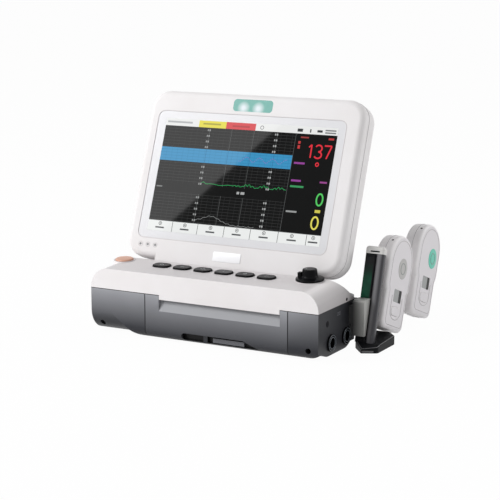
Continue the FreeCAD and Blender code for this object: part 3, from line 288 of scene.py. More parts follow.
drawer_grey = hull_tones("drawer_grey", 0.008)
# Painted light: the ramp that faces up under the white lip is lighter.
ramp_painted_light = drawer_grey.facing(*ramp_normal).over(0.80, 0.93)
drawer_light_and_shade = drawer_grey.blend(ramp_painted_light, drawer_grey.tint, paint(155, 156, 160))
# Painted shade: the latch pocket, deep in the drawer front and low down, is near black.
deep = drawer_grey.along(0.0, 1.0, 0.0).over(-0.1642, -0.1625)
low_down = 1.0 - drawer_grey.along(0.0, 0.0, 1.0).over(0.0166, 0.0172)
drawer_light_and_shade = drawer_grey.blend(deep * low_down, drawer_light_and_shade, paint(13, 13, 15))
drawer_grey.feed(Base_Color=drawer_grey.blend(drawer_grey.hairline, drawer_light_and_shade, paint(26, 26, 29)))
finishes["drawer_grey"], finishes["grey_case"] = drawer_grey, hull_grey
latch_grey = moulded("latch_grey", paint(104, 105, 110), paint(96, 97, 102), 0.4, 1200.0, 0.00005)
print("two tone shells", deck_white.material.name, hull_grey.material.name)

# %% [markdown]
# ## Metal, board and paper
#
# Inside and behind there are brushed steel brackets, a brass stud and pinion, green circuit boards
# and the chart paper. Brushing is noise drawn out along one axis. The paper carries the fine square
# grid of any chart recorder, which is the fraction of the place divided by the pitch.


# %% Metal, board and paper
def brushed(name, tone, rough):
    """Noise stretched along X by the ratio of its scales, on colour and on roughness."""
    made = Finish(name, Metallic=1.0)
    scales = (40.0, 900.0, 900.0)
    drawn = made.node("ShaderNodeMapping", None, {"Vector": made.spot, "Scale": scales})
    streak = made.node("ShaderNodeTexNoise", None, {"Vector": drawn, "Scale": 1.0, "Detail": 3.0})
    dark = tuple(0.78 * v for v in tone[:3]) + (1.0,)
    made.feed(Base_Color=made.blend(streak, dark, tone), Roughness=streak * 0.2 + rough)
    return made


finishes["steel"] = brushed("steel", paint(196, 197, 200), 0.25)
finishes["brass"] = brushed("brass", paint(214, 180, 112), 0.22)
dark_steel = brushed("dark_steel", paint(44, 44, 47), 0.4)

board = Finish("circuit_board", Roughness=0.4)
pads = board.node("ShaderNodeTexVoronoi", None, {"Vector": board.spot, "Scale": 320.0})
bricks = {"Vector": board.spot, "Scale": 60.0, "Mortar Size": 0.03}
tracks = board.node("ShaderNodeTexBrick", None, bricks, out=1)
board_green = board.blend(tracks, paint(22, 92, 52), paint(40, 122, 70))
board.feed(Base_Color=board.blend(1.0 - pads.over(0.12, 0.16), board_green, paint(200, 190, 140)))
finishes["circuit_board"] = board

chart = Finish("paper", Roughness=0.8)
squares_per_metre = 200.0
runs = [chart.along(0.0, squares_per_metre, 0.0), chart.along(squares_per_metre, 0.0, 0.0)]
rows, columns = (run.math("FRACT", run, 0.0).over(0.9, 0.94) for run in runs)
lines = rows.most(columns)
chart.feed(Base_Color=chart.blend(lines, paint(240, 238, 233), paint(226, 178, 168)))
chart.grain(chart.cloud(900.0), 0.2, 0.00005)
finishes["paper"] = chart
print("metal, board and paper done")

# %% [markdown]
# ## Dock, probe windows and lamps
#
# The dock has a dark green window, a dark post with a painted highlight stripe down it and a light
# block with painted shade to its left. Each probe has a small window whose back third is black. The
# alarm lamp is a turquoise lens with two light emitting diodes low behind it, so its glow is two soft
# spots measured from two points.

# %% Places on the tilted head, deck, dock and probes
head_lean, head_pivot, bezel_front = 20.5, (-79.5, 67.5), -25.8
deck_rise, deck_edge = 3.0, (-167.5, 89.3)
probe_lean, probe_foot, probe_front = 20.0, 13.0, 204.0
probe_rows = {"near": -16.5, "far": 80.5}
column_lean, column_foot = 16.0, (-76.5, 9.0)


def cos_sin(degrees):
    """Cosine and sine of an angle in degrees."""
    return np.cos(np.radians(degrees)), np.sin(np.radians(degrees))


def metres(x, y, z):
    """Three lists of millimetres, stretched to one shape, as points in metres."""
    return np.stack(np.broadcast_arrays(x, y, z), axis=-1) / 1000.0


def head_place(x, out, z):
    """Head frame in millimetres, out of the bezel's front, to metres: a turn of head_lean about X."""
    c, s = cos_sin(head_lean)
    y = bezel_front - np.asarray(out)
    return metres(x, head_pivot[0] + y * c + z * s, head_pivot[1] - y * s + z * c)


def deck_place(x, y, out):
    """Deck frame in millimetres to metres: a rise of deck_rise degrees to the back."""
    c, s = cos_sin(deck_rise)
    return metres(x, deck_edge[0] + y * c - out * s, deck_edge[1] + y * s + out * c)


def lean_place(out, y, z, row, rise, face, lean):
    """Frame of a piece that leans back by lean degrees beside the flank, out of its right face."""
    c, s = cos_sin(lean)
    return metres(face + out, row + y * c + z * s, rise - y * s + z * c)


print("screen middle at", head_place(-2.5, 0.0, 136.0).round(4).tolist())

# %% Dock, window and lamp finishes
post = Finish("dock_sheen", Metallic=0.3)
sheen = post.cloud(600.0)
post_middle, block_left, block_lit = 0.1965, 0.176, 0.193
# Painted highlight: a pale upright stripe down the middle of the dark post.
post_highlight = post.along(1.0, 0.0, 0.0).near(post_middle, 0.0008, 0.0045)
post_dark = post.blend(sheen, paint(48, 48, 52), paint(55, 55, 59))
post_tone = post.blend(post_highlight, post_dark, paint(108, 107, 110))
post.feed(Base_Color=post_tone, Roughness=sheen * 0.12 + 0.3)
finishes["dock_sheen"] = post

# Painted shade: the block darkens to its left, beside the hull.
block_shade_ramp = block_grey.along(1.0, 0.0, 0.0).over(block_left, block_lit)
block_grey.feed(Base_Color=block_grey.blend(block_shade_ramp, paint(50, 50, 50), block_grey.tint))
finishes["dock_light"] = block_grey

green = Finish("dock_green", Roughness=0.16, IOR=1.25)
deep_green = green.blend(green.cloud(70.0).over(0.35, 0.7), paint(6, 58, 41), paint(14, 84, 60))
c, s = cos_sin(column_lean)
height = green.along(0.0, s, c) - (column_foot[0] * s + column_foot[1] * c) / 1000.0
green.feed(Base_Color=green.blend(height.over(0.080, 0.104), deep_green, paint(20, 21, 23)))
finishes["dock_green"] = green

lamp = Finish("lamp_lens", Roughness=0.18, IOR=1.25, Emission_Strength=1.0)
diode_rise, diode_columns, diode_size, glow_size = 235.5, (-17.0, 5.5), 0.002, 0.010
spots = [tuple(head_place(x, 0.0, diode_rise).tolist()) for x in diode_columns]
apart = [
    lamp.node("ShaderNodeVectorMath", {"operation": "DISTANCE"}, {0: lamp.spot, 1: spot}, out=1)
    for spot in spots
]
first_glow, second_glow = (1.0 - gap.over(diode_size, glow_size) for gap in apart)
glow = first_glow + second_glow
glow = glow.math("MINIMUM", glow, 1.0)
lens_green = lamp.blend(lamp.cloud(220.0), paint(106, 166, 156), paint(118, 175, 166))
lamp.feed(Base_Color=lens_green)
lamp.feed(Emission_Color=lamp.blend(glow, paint(18, 32, 31), paint(200, 168, 184)))
finishes["lamp_lens"] = lamp

leds = Finish("led_lens", Roughness=0.25)
leds.feed(Base_Color=leds.blend(leds.cloud(500.0), paint(92, 93, 94), paint(116, 117, 118)))
finishes["led_lens"] = leds

glass = (paint(222, 222, 225), paint(217, 217, 220), 0.16, 300.0, 0.000004)
finishes["screen"] = moulded("screen", *glass, Specular_IOR_Level=0.2)
print("dock and lamps done")


# %% Probe windows
def probe_pane(name):
    """Grey pane, black past a line a little behind its middle that leans with the probe."""
    made = Finish(name, Roughness=0.15, IOR=1.2)
    c, s = cos_sin(probe_lean)
    lowest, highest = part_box(name)
    middle = 0.5 * (np.array(lowest) + np.array(highest))
    centre = c * middle[1] - s * middle[2]
    grey = made.blend(made.cloud(260.0), paint(150, 152, 152), paint(166, 168, 168))
    strip = made.along(0.0, c, -s).over(centre + 0.0042, centre + 0.0046)
    made.feed(Base_Color=made.blend(strip, grey, paint(28, 28, 30)))
    return made


panes = {name: probe_pane(name) for name in ("near_probe_window", "far_probe_window")}
print("panes", sorted(panes))

# %% Dress every solid
slots = {part["node"]: part["material_slot"] for part in frame["record"]["subparts"]}
special = {
    "upper_shell": deck_white,
    "drawer_latch": latch_grey,
    "case_screws": dark_steel,
    "dock_cap": cap_light,
    **panes,
}
for name, solid in frame["nodes"].items():
    finish = special[name] if name in special else finishes[slots[name]]
    solid.data.materials.clear()
    solid.data.materials.append(finish.material)
print("dressed", len(slots), "solids")

# %% [markdown]
# ## Skins from grids
#
# Every new piece is a grid of points: rows run one way over the surface and columns the other. The
# columns close on themselves for a rim or a tube, the rows close for a ring, and end rows may be
# capped. Two shapes cover most trim: a pillow, a rounded plate whose edge rolls over, and a bead,
# a half round carried along a line. Round ones keep a sliver of straight side, so that the ends of
# their four arcs stay apart.

# %% Skin, pillow and bead
crease_angle, weld_reach, sliver = 40.0, 1e-7, 0.01


def skin(name, grid, body, finish, loop=False):
    """Quads between rows and columns; columns wrap, rows wrap if loop, else the end rows are capped."""
    grids = grid if isinstance(grid, list) else [grid]
    corners, faces, start = [], [], 0
    for sheet in grids:
        count, around = sheet.shape[:2]
        number = start + np.arange(count * around).reshape(count, around)
        first = number if loop else number[:-1]
        second = np.roll(number, -1, axis=0) if loop else number[1:]
        quads = [first, np.roll(first, -1, axis=1), np.roll(second, -1, axis=1), second]
        faces += np.stack(quads, axis=-1).reshape(-1, 4).tolist()
        if not loop:
            faces += [number[0][::-1].tolist(), number[-1].tolist()]
        corners.append(sheet.reshape(-1, 3))
        start += count * around
    mesh = bpy.data.meshes.new(name)
    mesh.from_pydata(np.concatenate(corners).tolist(), [], faces)
    tidy = bmesh.new()
    tidy.from_mesh(mesh)
    bmesh.ops.remove_doubles(tidy, verts=tidy.verts, dist=weld_reach)
    bmesh.ops.recalc_face_normals(tidy, faces=tidy.faces)
    tidy.to_mesh(mesh)
    tidy.free()
    mesh.shade_smooth()
    mesh.set_sharp_from_angle(angle=np.radians(crease_angle))
    mesh.materials.append(finish.material)
    piece = bpy.data.objects.new(name, mesh)
    bpy.context.scene.collection.objects.link(piece)
    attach(piece, body)
    print(name, len(mesh.polygons), "faces on", body)
    return piece


def rim(half_a, half_b, round_off, steps=8):
    """Rounded rectangle: quarter arcs of radius round_off about the four inner corners, as (n, 2)."""
    turn = np.linspace(0.0, 0.5 * np.pi, steps)[None, :] + 0.5 * np.pi * np.arange(4)[:, None]
    inner = np.array([[1, 1], [-1, 1], [-1, -1], [1, -1]]) * (half_a - round_off, half_b - round_off)
    arcs = round_off * np.stack([np.cos(turn), np.sin(turn)], axis=-1)
    return (inner[:, None, :] + arcs).reshape(-1, 2)


def pillow(place, centre, half_a, half_b, round_off, rise, roll, sink=0.3):
    """Rims that shrink by roll (1 - cos t) and climb to rise by sin t, so the edge is a quarter round."""
    turn = np.linspace(0.0, 0.5 * np.pi, 5)
    inset = np.concatenate([[0.0], roll * (1.0 - np.cos(turn))])
    height = np.concatenate([[-sink], rise - roll + roll * np.sin(turn)])
    rims = np.stack([rim(half_a - d, half_b - d, max(round_off - d, 0.02)) for d in inset])
    return place(centre[0] + rims[..., 0], centre[1] + rims[..., 1], height[:, None])


def bead(place, path, width, rise, closed, sink=0.15):
    """Half ellipse, width across and rise high, carried along a flat path square to its run."""
    if closed:
        run = np.roll(path, -1, axis=0) - np.roll(path, 1, axis=0)
    else:
        run = np.gradient(path, axis=0)
    run = run / np.linalg.norm(run, axis=1, keepdims=True)
    across = np.stack([-run[:, 1], run[:, 0]], axis=-1)
    turn = np.linspace(0.0, np.pi, 7)
    offset = np.concatenate([0.5 * width * np.cos(turn), [-0.5 * width, 0.5 * width]])
    height = np.concatenate([rise * np.sin(turn), [-sink, -sink]])
    spots = path[:, None, :] + across[:, None, :] * offset[None, :, None]
    return place(spots[..., 0], spots[..., 1], height[None, :])


def button(place, centre, radius, rise, roll):
    """A pillow with a circle for its rim."""
    return pillow(place, centre, radius, radius, radius - sliver, rise, roll)


def opening(place, centre, half_a, half_b):
    """A slot with round ends: a pillow a quarter of a millimetre high, which is shown dark as painted
    shade of a hole.
    """
    return pillow(place, centre, half_a, half_b, min(half_a, half_b) - sliver, 0.25, 0.1)


def hoop(place, centre, radius, steps, width, rise):
    """A bead along a circle."""
    return bead(place, rim(radius, radius, radius - sliver, steps) + centre, width, rise, True)


def cord(place, outline, grow, level, thick=0.3):
    """A round cord of radius thick: the outline swells by a cosine while the level rises by a sine."""
    turn = np.linspace(0.0, 2.0 * np.pi, 9)[:-1]
    loops = np.stack([outline(grow + thick * np.cos(t)) for t in turn], axis=1)
    return place(loops[..., 0], loops[..., 1], level + thick * np.sin(turn)[None, :])


def on_head(a, b, out):
    """Front of the head: a runs to the right, b up along the bezel."""
    return head_place(a, out, b)


print("a rim has", len(rim(2, 1, 0.5)), "points")

# %% [markdown]
# ## The lit picture
#
# The screen shows two strips of chart grid, a blue band, a few traces, a column of plain numbers and
# a row of soft keys. It could be an image, but a part carries no picture files, so it is a sheet of
# small flat quads, each with its own colour in an attribute, laid in thin layers on the glass.

# %% Quads of the picture
wide, tall = 262.4, 157.3
bar_foot, keys_top, chart_end = 0.06, 0.905, 0.77
upper_strip, blue_band, lower_strip = (bar_foot, 0.57), (0.252, 0.372), (0.65, keys_top)
stack = []


def tile(u0, u1, v0, v1, colour, layer):
    """Upright rectangles, given as shares of the picture from its top left corner."""
    sides = [np.atleast_1d(np.asarray(v, float)) for v in (u0, u1, v0, v1)]
    u0, u1, v0, v1 = np.broadcast_arrays(*sides)
    corners = np.stack([np.stack([u0, v1]), np.stack([u1, v1]), np.stack([u1, v0]), np.stack([u0, v0])])
    stack.append((corners.transpose(2, 0, 1) * (wide, tall), colour, layer))


def stroke(path, width, colour, layer):
    """A ribbon of that width in millimetres along a path of (n, 2) shares of the picture."""
    path = np.asarray(path, float) * (wide, tall)
    run = np.gradient(path, axis=0)
    run = run / np.maximum(np.linalg.norm(run, axis=1, keepdims=True), 1e-9)
    across = 0.5 * width * np.stack([-run[:, 1], run[:, 0]], axis=-1)
    left, far = path - across, path + across
    stack.append((np.stack([far[:-1], far[1:], left[1:], left[:-1]], axis=1), colour, layer))


tile(0.0, 1.0, 0.0, 1.0, paint(2, 3, 3), 0)
tile(0.0, 1.0, -0.004, bar_foot, paint(232, 233, 232), 1)
tile(0.20, 0.362, 0.0, bar_foot, paint(226, 216, 72), 2)
tile(0.362, 0.535, 0.0, bar_foot, paint(212, 68, 74), 2)
tile(0.0, chart_end, *blue_band, paint(56, 144, 192), 2)
tile(0.0, 1.0, keys_top, 1.0, paint(234, 236, 235), 1)
print("picture blocks", len(stack))

# %% Grids
row_pitch, row_width = 0.0265, 0.0022
column_pitch, column_width, strong_width = 0.0327, 0.0012, 0.0018
upper_rows, middle_rows = np.arange(0.085, 0.245, row_pitch), np.arange(0.385, 0.57, row_pitch)
across_lines = np.concatenate([upper_rows, middle_rows])
lower_lines = np.arange(0.655, keys_top, row_pitch)
for level in (across_lines, lower_lines):
    tile(0.0, chart_end, level, level + row_width, paint(62, 63, 63), 1)
upright = np.arange(0.033, chart_end, column_pitch)
for strip in (upper_strip, lower_strip):
    tile(upright, upright + column_width, *strip, paint(50, 51, 51), 1)
strong = np.array([0.27, 0.40, 0.53, 0.665])
for strip in (upper_strip, lower_strip):
    tile(strong, strong + strong_width, *strip, paint(92, 94, 94), 2)
tile(chart_end, chart_end + row_width, bar_foot, keys_top, paint(86, 88, 88), 2)
band_lines = np.arange(0.2705, 0.37, row_pitch)
tile(0.0, chart_end, band_lines, band_lines + row_width, paint(42, 118, 160), 3)
tile(upright, upright + column_width, *blue_band, paint(44, 124, 168), 3)
tile(strong, strong + strong_width, *blue_band, paint(34, 102, 146), 4)
edges = np.array([0.146, 0.297, 0.453, 0.605, 0.763, 0.922])
tile(edges, edges + 0.0026, keys_top, 1.0, paint(48, 50, 50), 2)
tile(0.0, 1.0, keys_top, keys_top + 0.004, paint(120, 122, 122), 2)
print("grid lines", len(across_lines) + len(lower_lines) + len(upright))

# %% Traces and scale marks
beat = np.linspace(0.27, 0.765, 260)
swing = np.abs(np.sin(beat * 150.0) * np.sin(beat * 37.0))
ripple = 0.022 * swing * np.clip((beat - 0.45) * 20.0, 0.04, 1.0)
spike = 0.02 * np.exp(-(((beat - 0.285) / 0.012) ** 2))
pulse = 0.555 - ripple - 0.004 * np.sin(beat * 61.0) - spike
stroke(np.stack([beat, pulse], axis=-1), 0.6, paint(44, 170, 92), 3)
press = np.linspace(0.275, 0.62, 160)
hump = 0.875 - 0.045 * np.exp(-(((press - 0.365) / 0.055) ** 2))
hump = hump + 0.02 * np.clip((press - 0.42) * 12.0, 0.0, 1.0)
stroke(np.stack([press, hump + 0.003 * np.sin(press * 210.0)], axis=-1), 0.42, paint(150, 152, 152), 3)
spans = ((0.075, 0.25), (0.40, 0.57), (0.67, 0.9))
marks = np.concatenate([np.arange(low, high, 0.05) for low, high in spans])
mark_ends = marks + 0.016
tile(0.258, 0.276, marks, mark_ends, paint(150, 152, 152), 4)
tile(0.652, 0.670, marks, mark_ends, paint(168, 170, 170), 4)
for u in (0.264, 0.658):
    tile(u, u + 0.004, marks, mark_ends, paint(30, 31, 31), 5)
speckle = np.linspace(0.47, 0.74, 34)
drop = 0.312 + 0.02 * np.sin(speckle * 83.0)
tile(speckle, speckle + 0.004, drop, drop + 0.006, paint(150, 112, 190), 4)
print("trace points", len(beat) + len(press))


# %% Numbers
def figure(kind, u, v, width, height, thick, colour):
    """Figures drawn as strokes: arcs for 0 and 3, straight runs for 1 and 7."""
    turn = np.linspace(0.0, 2.0 * np.pi, 49)
    sweep = np.linspace(-0.85 * np.pi, 0.5 * np.pi, 25)
    oval = np.stack([0.5 + 0.5 * np.cos(turn), 0.5 + 0.5 * np.sin(turn)], axis=-1)
    upper = np.stack([0.48 + 0.45 * np.cos(sweep), 0.25 + 0.25 * np.sin(sweep)], axis=-1)
    lower = np.stack([0.48 + 0.50 * np.cos(-sweep[::-1]), 0.75 + 0.25 * np.sin(-sweep[::-1])], axis=-1)
    drawn = {
        "0": [oval],
        "1": [np.array([[0.2, 0.2], [0.62, 0.0]]), np.array([[0.62, 0.0], [0.62, 1.0]])],
        "3": [upper, lower],
        "7": [np.array([[0.0, 0.02], [0.95, 0.02]]), np.array([[0.95, 0.02], [0.42, 1.0]])],
    }
    for path in drawn[kind]:
        stroke(path * (width, height) + (u, v), thick, colour, 4)


red, leaf, lemon = paint(222, 48, 62), paint(84, 200, 98), paint(222, 214, 92)
figure("1", 0.848, 0.150, 0.034, 0.112, 2.1, red)
figure("3", 0.890, 0.150, 0.040, 0.112, 2.1, red)
figure("7", 0.940, 0.150, 0.042, 0.112, 2.1, red)
figure("0", 0.943, 0.560, 0.034, 0.098, 2.2, leaf)
figure("0", 0.936, 0.756, 0.036, 0.102, 2.3, lemon)
tile(0.944, 0.974, 0.696, 0.721, paint(206, 196, 82), 3)
tile(0.80, 0.845, 0.085, 0.098, paint(150, 60, 60), 3)
tile(0.955, 0.985, 0.085, 0.102, paint(180, 58, 60), 3)
tile([0.79, 0.79], [0.803, 0.803], [0.125, 0.16], [0.148, 0.19], paint(196, 60, 62), 3)
tile([0.785, 0.785], [0.845, 0.84], [0.305, 0.455], [0.322, 0.472], paint(146, 66, 150), 3)
tile(0.785, 0.86, 0.505, 0.522, paint(58, 150, 92), 3)
tile(0.945, 0.985, 0.455, 0.470, paint(150, 70, 140), 3)
tile(0.785, 0.845, 0.72, 0.735, paint(150, 152, 152), 3)
ring = np.linspace(0.0, 2.0 * np.pi, 25)
stroke(np.stack([0.914 + 0.008 * np.cos(ring), 0.315 + 0.014 * np.sin(ring)], axis=-1), 1.6, red, 3)
print("numbers drawn")

# %% Small signs of the bars
ink = paint(58, 60, 62)
for centre in (0.073, 0.222, 0.375, 0.529, 0.684, 0.842, 0.961):
    loop = np.stack([centre + 0.0085 * np.cos(ring), 0.932 + 0.0142 * np.sin(ring)], axis=-1)
    stroke(loop, 0.7, ink, 4)
    tile(centre - 0.003, centre + 0.003, 0.927, 0.937, ink, 5)
    tile(centre - 0.026, centre + 0.026, 0.962, 0.975, paint(78, 80, 82), 4)
stroke(np.stack([0.572 + 0.009 * np.cos(ring), 0.03 + 0.015 * np.sin(ring)], axis=-1), 0.7, ink, 4)
tile([0.775, 0.845, 0.886], [0.805, 0.852, 0.915], [0.018, 0.018, 0.022], [0.045, 0.047, 0.042], ink, 4)
tile(0.93, 0.99, [0.015, 0.036], [0.027, 0.048], paint(120, 122, 124), 4)
tile(0.01, 0.16, 0.018, 0.034, paint(176, 178, 180), 4)
tile(0.225, 0.33, 0.02, 0.034, paint(170, 162, 60), 4)
tile(0.40, 0.50, 0.026, 0.04, paint(176, 56, 62), 4)
tile(0.01, 0.045, 0.6, 0.612, paint(120, 122, 122), 4)
tile([0.49, 0.513], [0.505, 0.535], 0.6, 0.622, paint(168, 170, 170), 4)
print("picture parts", len(stack), "quads", sum(len(part[0]) for part in stack))

# %% Lay the picture on the glass
picture_left, picture_top = -133.7, 214.8
glass_level, layer_step = -0.22, 0.04
quads = np.concatenate([part[0] for part in stack])
depth = np.concatenate([np.full(len(part[0]), layer_step * part[2] + glass_level) for part in stack])
tones = np.concatenate([np.tile(part[1], (len(part[0]), 1)) for part in stack])
spots = head_place(picture_left + quads[..., 0], depth[:, None], picture_top - quads[..., 1])
picture_faces = np.arange(4 * len(quads)).reshape(-1, 4)
picture_mesh = bpy.data.meshes.new("screen_picture")
picture_mesh.from_pydata(spots.reshape(-1, 3).tolist(), [], picture_faces.tolist())
tone_layer = picture_mesh.color_attributes.new("tone", "FLOAT_COLOR", "CORNER")
tone_layer.data.foreach_set("color", np.repeat(tones, 4, axis=0).ravel())
lit = Finish("screen_picture", Roughness=0.03, Specular_IOR_Level=0.085, Emission_Strength=1.0)
shown = lit.node("ShaderNodeAttribute", {"attribute_name": "tone"})
dark_glass = lit.blend(lit.cloud(300.0), (0.002, 0.002, 0.002, 1.0), (0.004, 0.004, 0.004, 1.0))
lit.feed(Emission_Color=shown, Base_Color=dark_glass)
picture_mesh.materials.append(lit.material)
picture = bpy.data.objects.new("screen_picture", picture_mesh)
bpy.context.scene.collection.objects.link(picture)
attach(picture, "head")
first = picture_mesh.polygons[0].normal
print("picture faces", tuple(round(v, 2) for v in first))

# %% [markdown]
# ## Trim of the head
#
# A thin rebate runs round the glass, a bare plate sits under it, and the back has vents and four
# screw wells. Beads and pillows of a millimetre or less are enough.

# %% Trim of the head
head_thick = 44.0
line_grey = moulded("line_grey", paint(176, 173, 174), paint(166, 163, 164), 0.5, 900.0, 0.00002)
rebate_grey = moulded("rebate_grey", paint(212, 208, 209), paint(205, 201, 202), 0.5, 900.0, 0.00002)
# dark_slot is painted shade: holes, slots and grooves are thin dark pillows instead of openings.
dark_slot = moulded("dark_slot", paint(24, 24, 26), paint(30, 30, 33), 0.6, 900.0, 0.00003, IOR=1.15)
plate_white = moulded("plate_white", paint(246, 246, 248), paint(242, 242, 245), 0.3, 700.0, 0.00001)
rebate = rim(143.6, 89.6, 9.6, 12) + (-4.0, 136.5)
skin("glass_rebate", bead(on_head, rebate, 1.1, 0.35, True), "head", rebate_grey, loop=True)
plate = pillow(on_head, (-3.0, 30.5), 21.0, 6.6, 1.2, 0.5, 0.3)
skin("bare_plate", plate, "head", plate_white)
rims = [hoop(on_head, (x, 37.5), 3.0, 8, 0.9, 0.4) for x in (-140.0, -128.3, -116.6)]
skin("led_rims", rims, "head", rebate_grey, loop=True)


def on_head_back(a, b, out):
    """Back of the head, head_thick behind the bezel's front, seen from behind."""
    return head_place(-np.asarray(a), -head_thick - np.asarray(out), b)


def head_outline(grow):
    """Outer edge of the head where its two shells part, larger by grow."""
    return rim(163.0 + grow, 117.5 + grow, 27.0 + grow, 14) + (0.0, 138.0)


# Vents and screw wells: dark pillows, painted shade of holes.
vents = [opening(on_head_back, (0.0, z), 62.0, 1.6) for z in 176.0 + 7.5 * np.arange(7)]
skin("head_vents", vents, "head", dark_slot)
well_spots = [(x, z) for x in (-140.0, 140.0) for z in (48.0, 228.0)]
wells = [opening(on_head_back, spot, 3.6, 3.6) for spot in well_spots]
skin("head_screw_wells", wells, "head", dark_slot)
seam = cord(on_head, head_outline, 0.15, -16.0)
skin("head_seam", seam, "head", line_grey, loop=True)
panel_line = bead(on_head_back, rim(96.0, 44.0, 8.0, 10) + (0.0, 100.0), 0.9, 0.25, True)
skin("head_panel_line", panel_line, "head", line_grey, loop=True)

# %% [markdown]
# ## Marks on the keys and the knob
#
# The keys carry small pale signs. They are plain strokes here: a ring, a bar, an oval. They are
# printed, so each is a bead only a tenth of a millimetre high that rides with its own key.

# %% Key marks
first_key, key_pitch, key_row, key_top = -84.5, 31.7, 43.0, 2.4
mark_wide, mark_high = 0.7, 0.12
mark_white = moulded("mark_white", paint(186, 188, 190), paint(176, 178, 180), 0.5, 900.0, 0.00001)
arc = np.linspace(0.0, 2.0 * np.pi, 33)[:-1]
circle = np.stack([2.4 * np.cos(arc), 2.4 * np.sin(arc)], axis=-1)


def straight(start, end):
    """Nine points evenly along the line from start to end."""
    steps = np.linspace(0.0, 1.0, 9)[:, None]
    return np.array([start]) * (1 - steps) + np.array([end]) * steps


def on_key(a, b, out):
    """Flat tops of the keys, key_top over the deck."""
    return deck_place(a, b, key_top + out)


signs = {
    1: (circle, True),
    2: (straight((-3.0, 0.0), (3.0, 0.0)), False),
    3: (circle * (1.3, 0.75), True),
    4: (straight((0.0, -2.4), (0.0, 2.4)), False),
    5: (circle * (0.7, 1.0), True),
    6: (straight((-2.4, -1.8), (2.4, 1.8)), False),
}
for number, (path, closed) in signs.items():
    spot = path + (first_key + key_pitch * (number - 1), key_row)
    mark = bead(on_key, spot, mark_wide, mark_high, closed)
    skin(f"key_mark_{number}", mark, f"deck_key_{number}", mark_white, loop=closed)

# %% Knob
knob_middle, brim_top, knob_rise = (131.0, 54.0), 3.2, 12.3


def on_brim(a, b, out):
    """Top of the knob's brim, brim_top over the deck, about the knob's own middle."""
    return deck_place(knob_middle[0] + a, knob_middle[1] + b, brim_top + np.asarray(out))


def on_knob(a, b, out):
    """Flat top of the knob, knob_rise over its brim."""
    return on_brim(a, b, knob_rise + np.asarray(out))


lug = pillow(on_brim, (-12.2, -3.0), 2.6, 3.4, 1.0, 7.5, 0.8)
skin("knob_lug", lug, "knob", finishes["black_gloss"])
pointer = bead(on_knob, straight((-7.0, -1.8), (-3.0, -0.8)), mark_wide, mark_high, False)
skin("knob_pointer", pointer, "knob", mark_white)

# %% [markdown]
# ## Trim of the flank, the dock and the probes
#
# Beside the sockets the flank has a small round jack and a square sign, and the sockets have grey rings
# and bright pins. The dock's cap has a slit, and its tray has a pale lip and toe face, a painted
# highlight of its edges. Each probe has a badge, a raised line round its face, a ridge under the window,
# a seam and a dot on its rim.

# %% Flank
flank_x, flange_out, contact_in = 170.0, 2.4, 7.1
socket_rows, socket_rise = (36.4, 79.9), 18.5


def on_flank(a, b, out):
    """Right flank: a runs back from the front edge, b up from the desk."""
    return metres(flank_x + out, deck_edge[0] + a, b)


def on_socket(a, b, out):
    """Outer face of the sockets' flanges, flange_out proud of the flank."""
    return on_flank(a, b, flange_out + np.asarray(out))


def on_contacts(a, b, out):
    """Ends of the sockets' contacts, contact_in behind the flank's face."""
    return on_flank(a, b, np.asarray(out) - contact_in)


sign_grey = moulded("sign_grey", paint(92, 93, 98), paint(84, 85, 90), 0.5, 900.0, 0.00001)
ring_grey = moulded("ring_grey", paint(86, 92, 99), paint(76, 82, 89), 0.35, 900.0, 0.00002)
# Jack and spot: dark pillows, painted shade of holes.
jack = pillow(on_flank, (26.0, 45.0), 3.6, 4.0, 3.59, 0.3, 0.15)
skin("flank_jack", jack, "base", dark_slot)
spot_hole = button(on_flank, (82.0, 66.0), 2.2, 0.3, 0.15)
skin("flank_spot", spot_hole, "base", dark_slot)
square = rim(1.7, 1.7, 0.4, 4)
squares = [bead(on_flank, square + (a, 52.0), 0.6, 0.2, True) for a in (56.5, 61.5)]
skin("flank_sign", squares, "base", sign_grey, loop=True)
rings = [
    hoop(on_socket, (a, socket_rise), radius, 9, 0.9, 0.4)
    for a in socket_rows for radius in (7.4, 10.2)
]
skin("socket_rings", rings, "base", ring_grey, loop=True)
fifths = 2.0 * np.pi * np.arange(5) / 5.0
spread = 3.74 * np.stack([np.cos(fifths), np.sin(fifths)], axis=-1)
pins = [
    button(on_contacts, spot + (a, socket_rise), 0.6, 0.2, 0.1)
    for a in socket_rows for spot in spread
]
skin("socket_pins", pins, "base", finishes["brass"])

# %% Probes
tail_half, head_round, head_offset, head_rise = 34.5, 38.0, 1.0, 89.0
flare_round, flare_middle, flare_start = 20.0, (19.0, 63.2), 50.0
seam_depth, dot_angle, ridge_half = 12.5, 48.0, 17.5


def paddle(inset):
    """Probe outline, drawn in by inset: straight tail, a short flare with an arc, and a round head."""
    tail, head, bend = tail_half - inset, head_round - inset, flare_round - inset
    lean = np.radians(np.linspace(-29.4, 0.0, 9))
    swell = bend * np.stack([np.cos(lean), np.sin(lean)], axis=-1) + flare_middle
    flare = np.concatenate([[[tail, flare_start + 0.26 * inset]], swell])
    turn = np.concatenate([np.linspace(0.0, 0.5 * np.pi, 17), np.linspace(0.5 * np.pi, np.pi, 17)])
    middle = np.repeat([head_offset, -head_offset], 17)
    dome = np.stack([middle + head * np.cos(turn), head_rise + head * np.sin(turn)], axis=-1)
    foot = rim(tail, 12.0, 10.0 - 0.5 * inset, 8)[16:] + (0.0, inset + 12.0)
    return np.concatenate([foot, flare, dome, flare[::-1] * (-1.0, 1.0)])


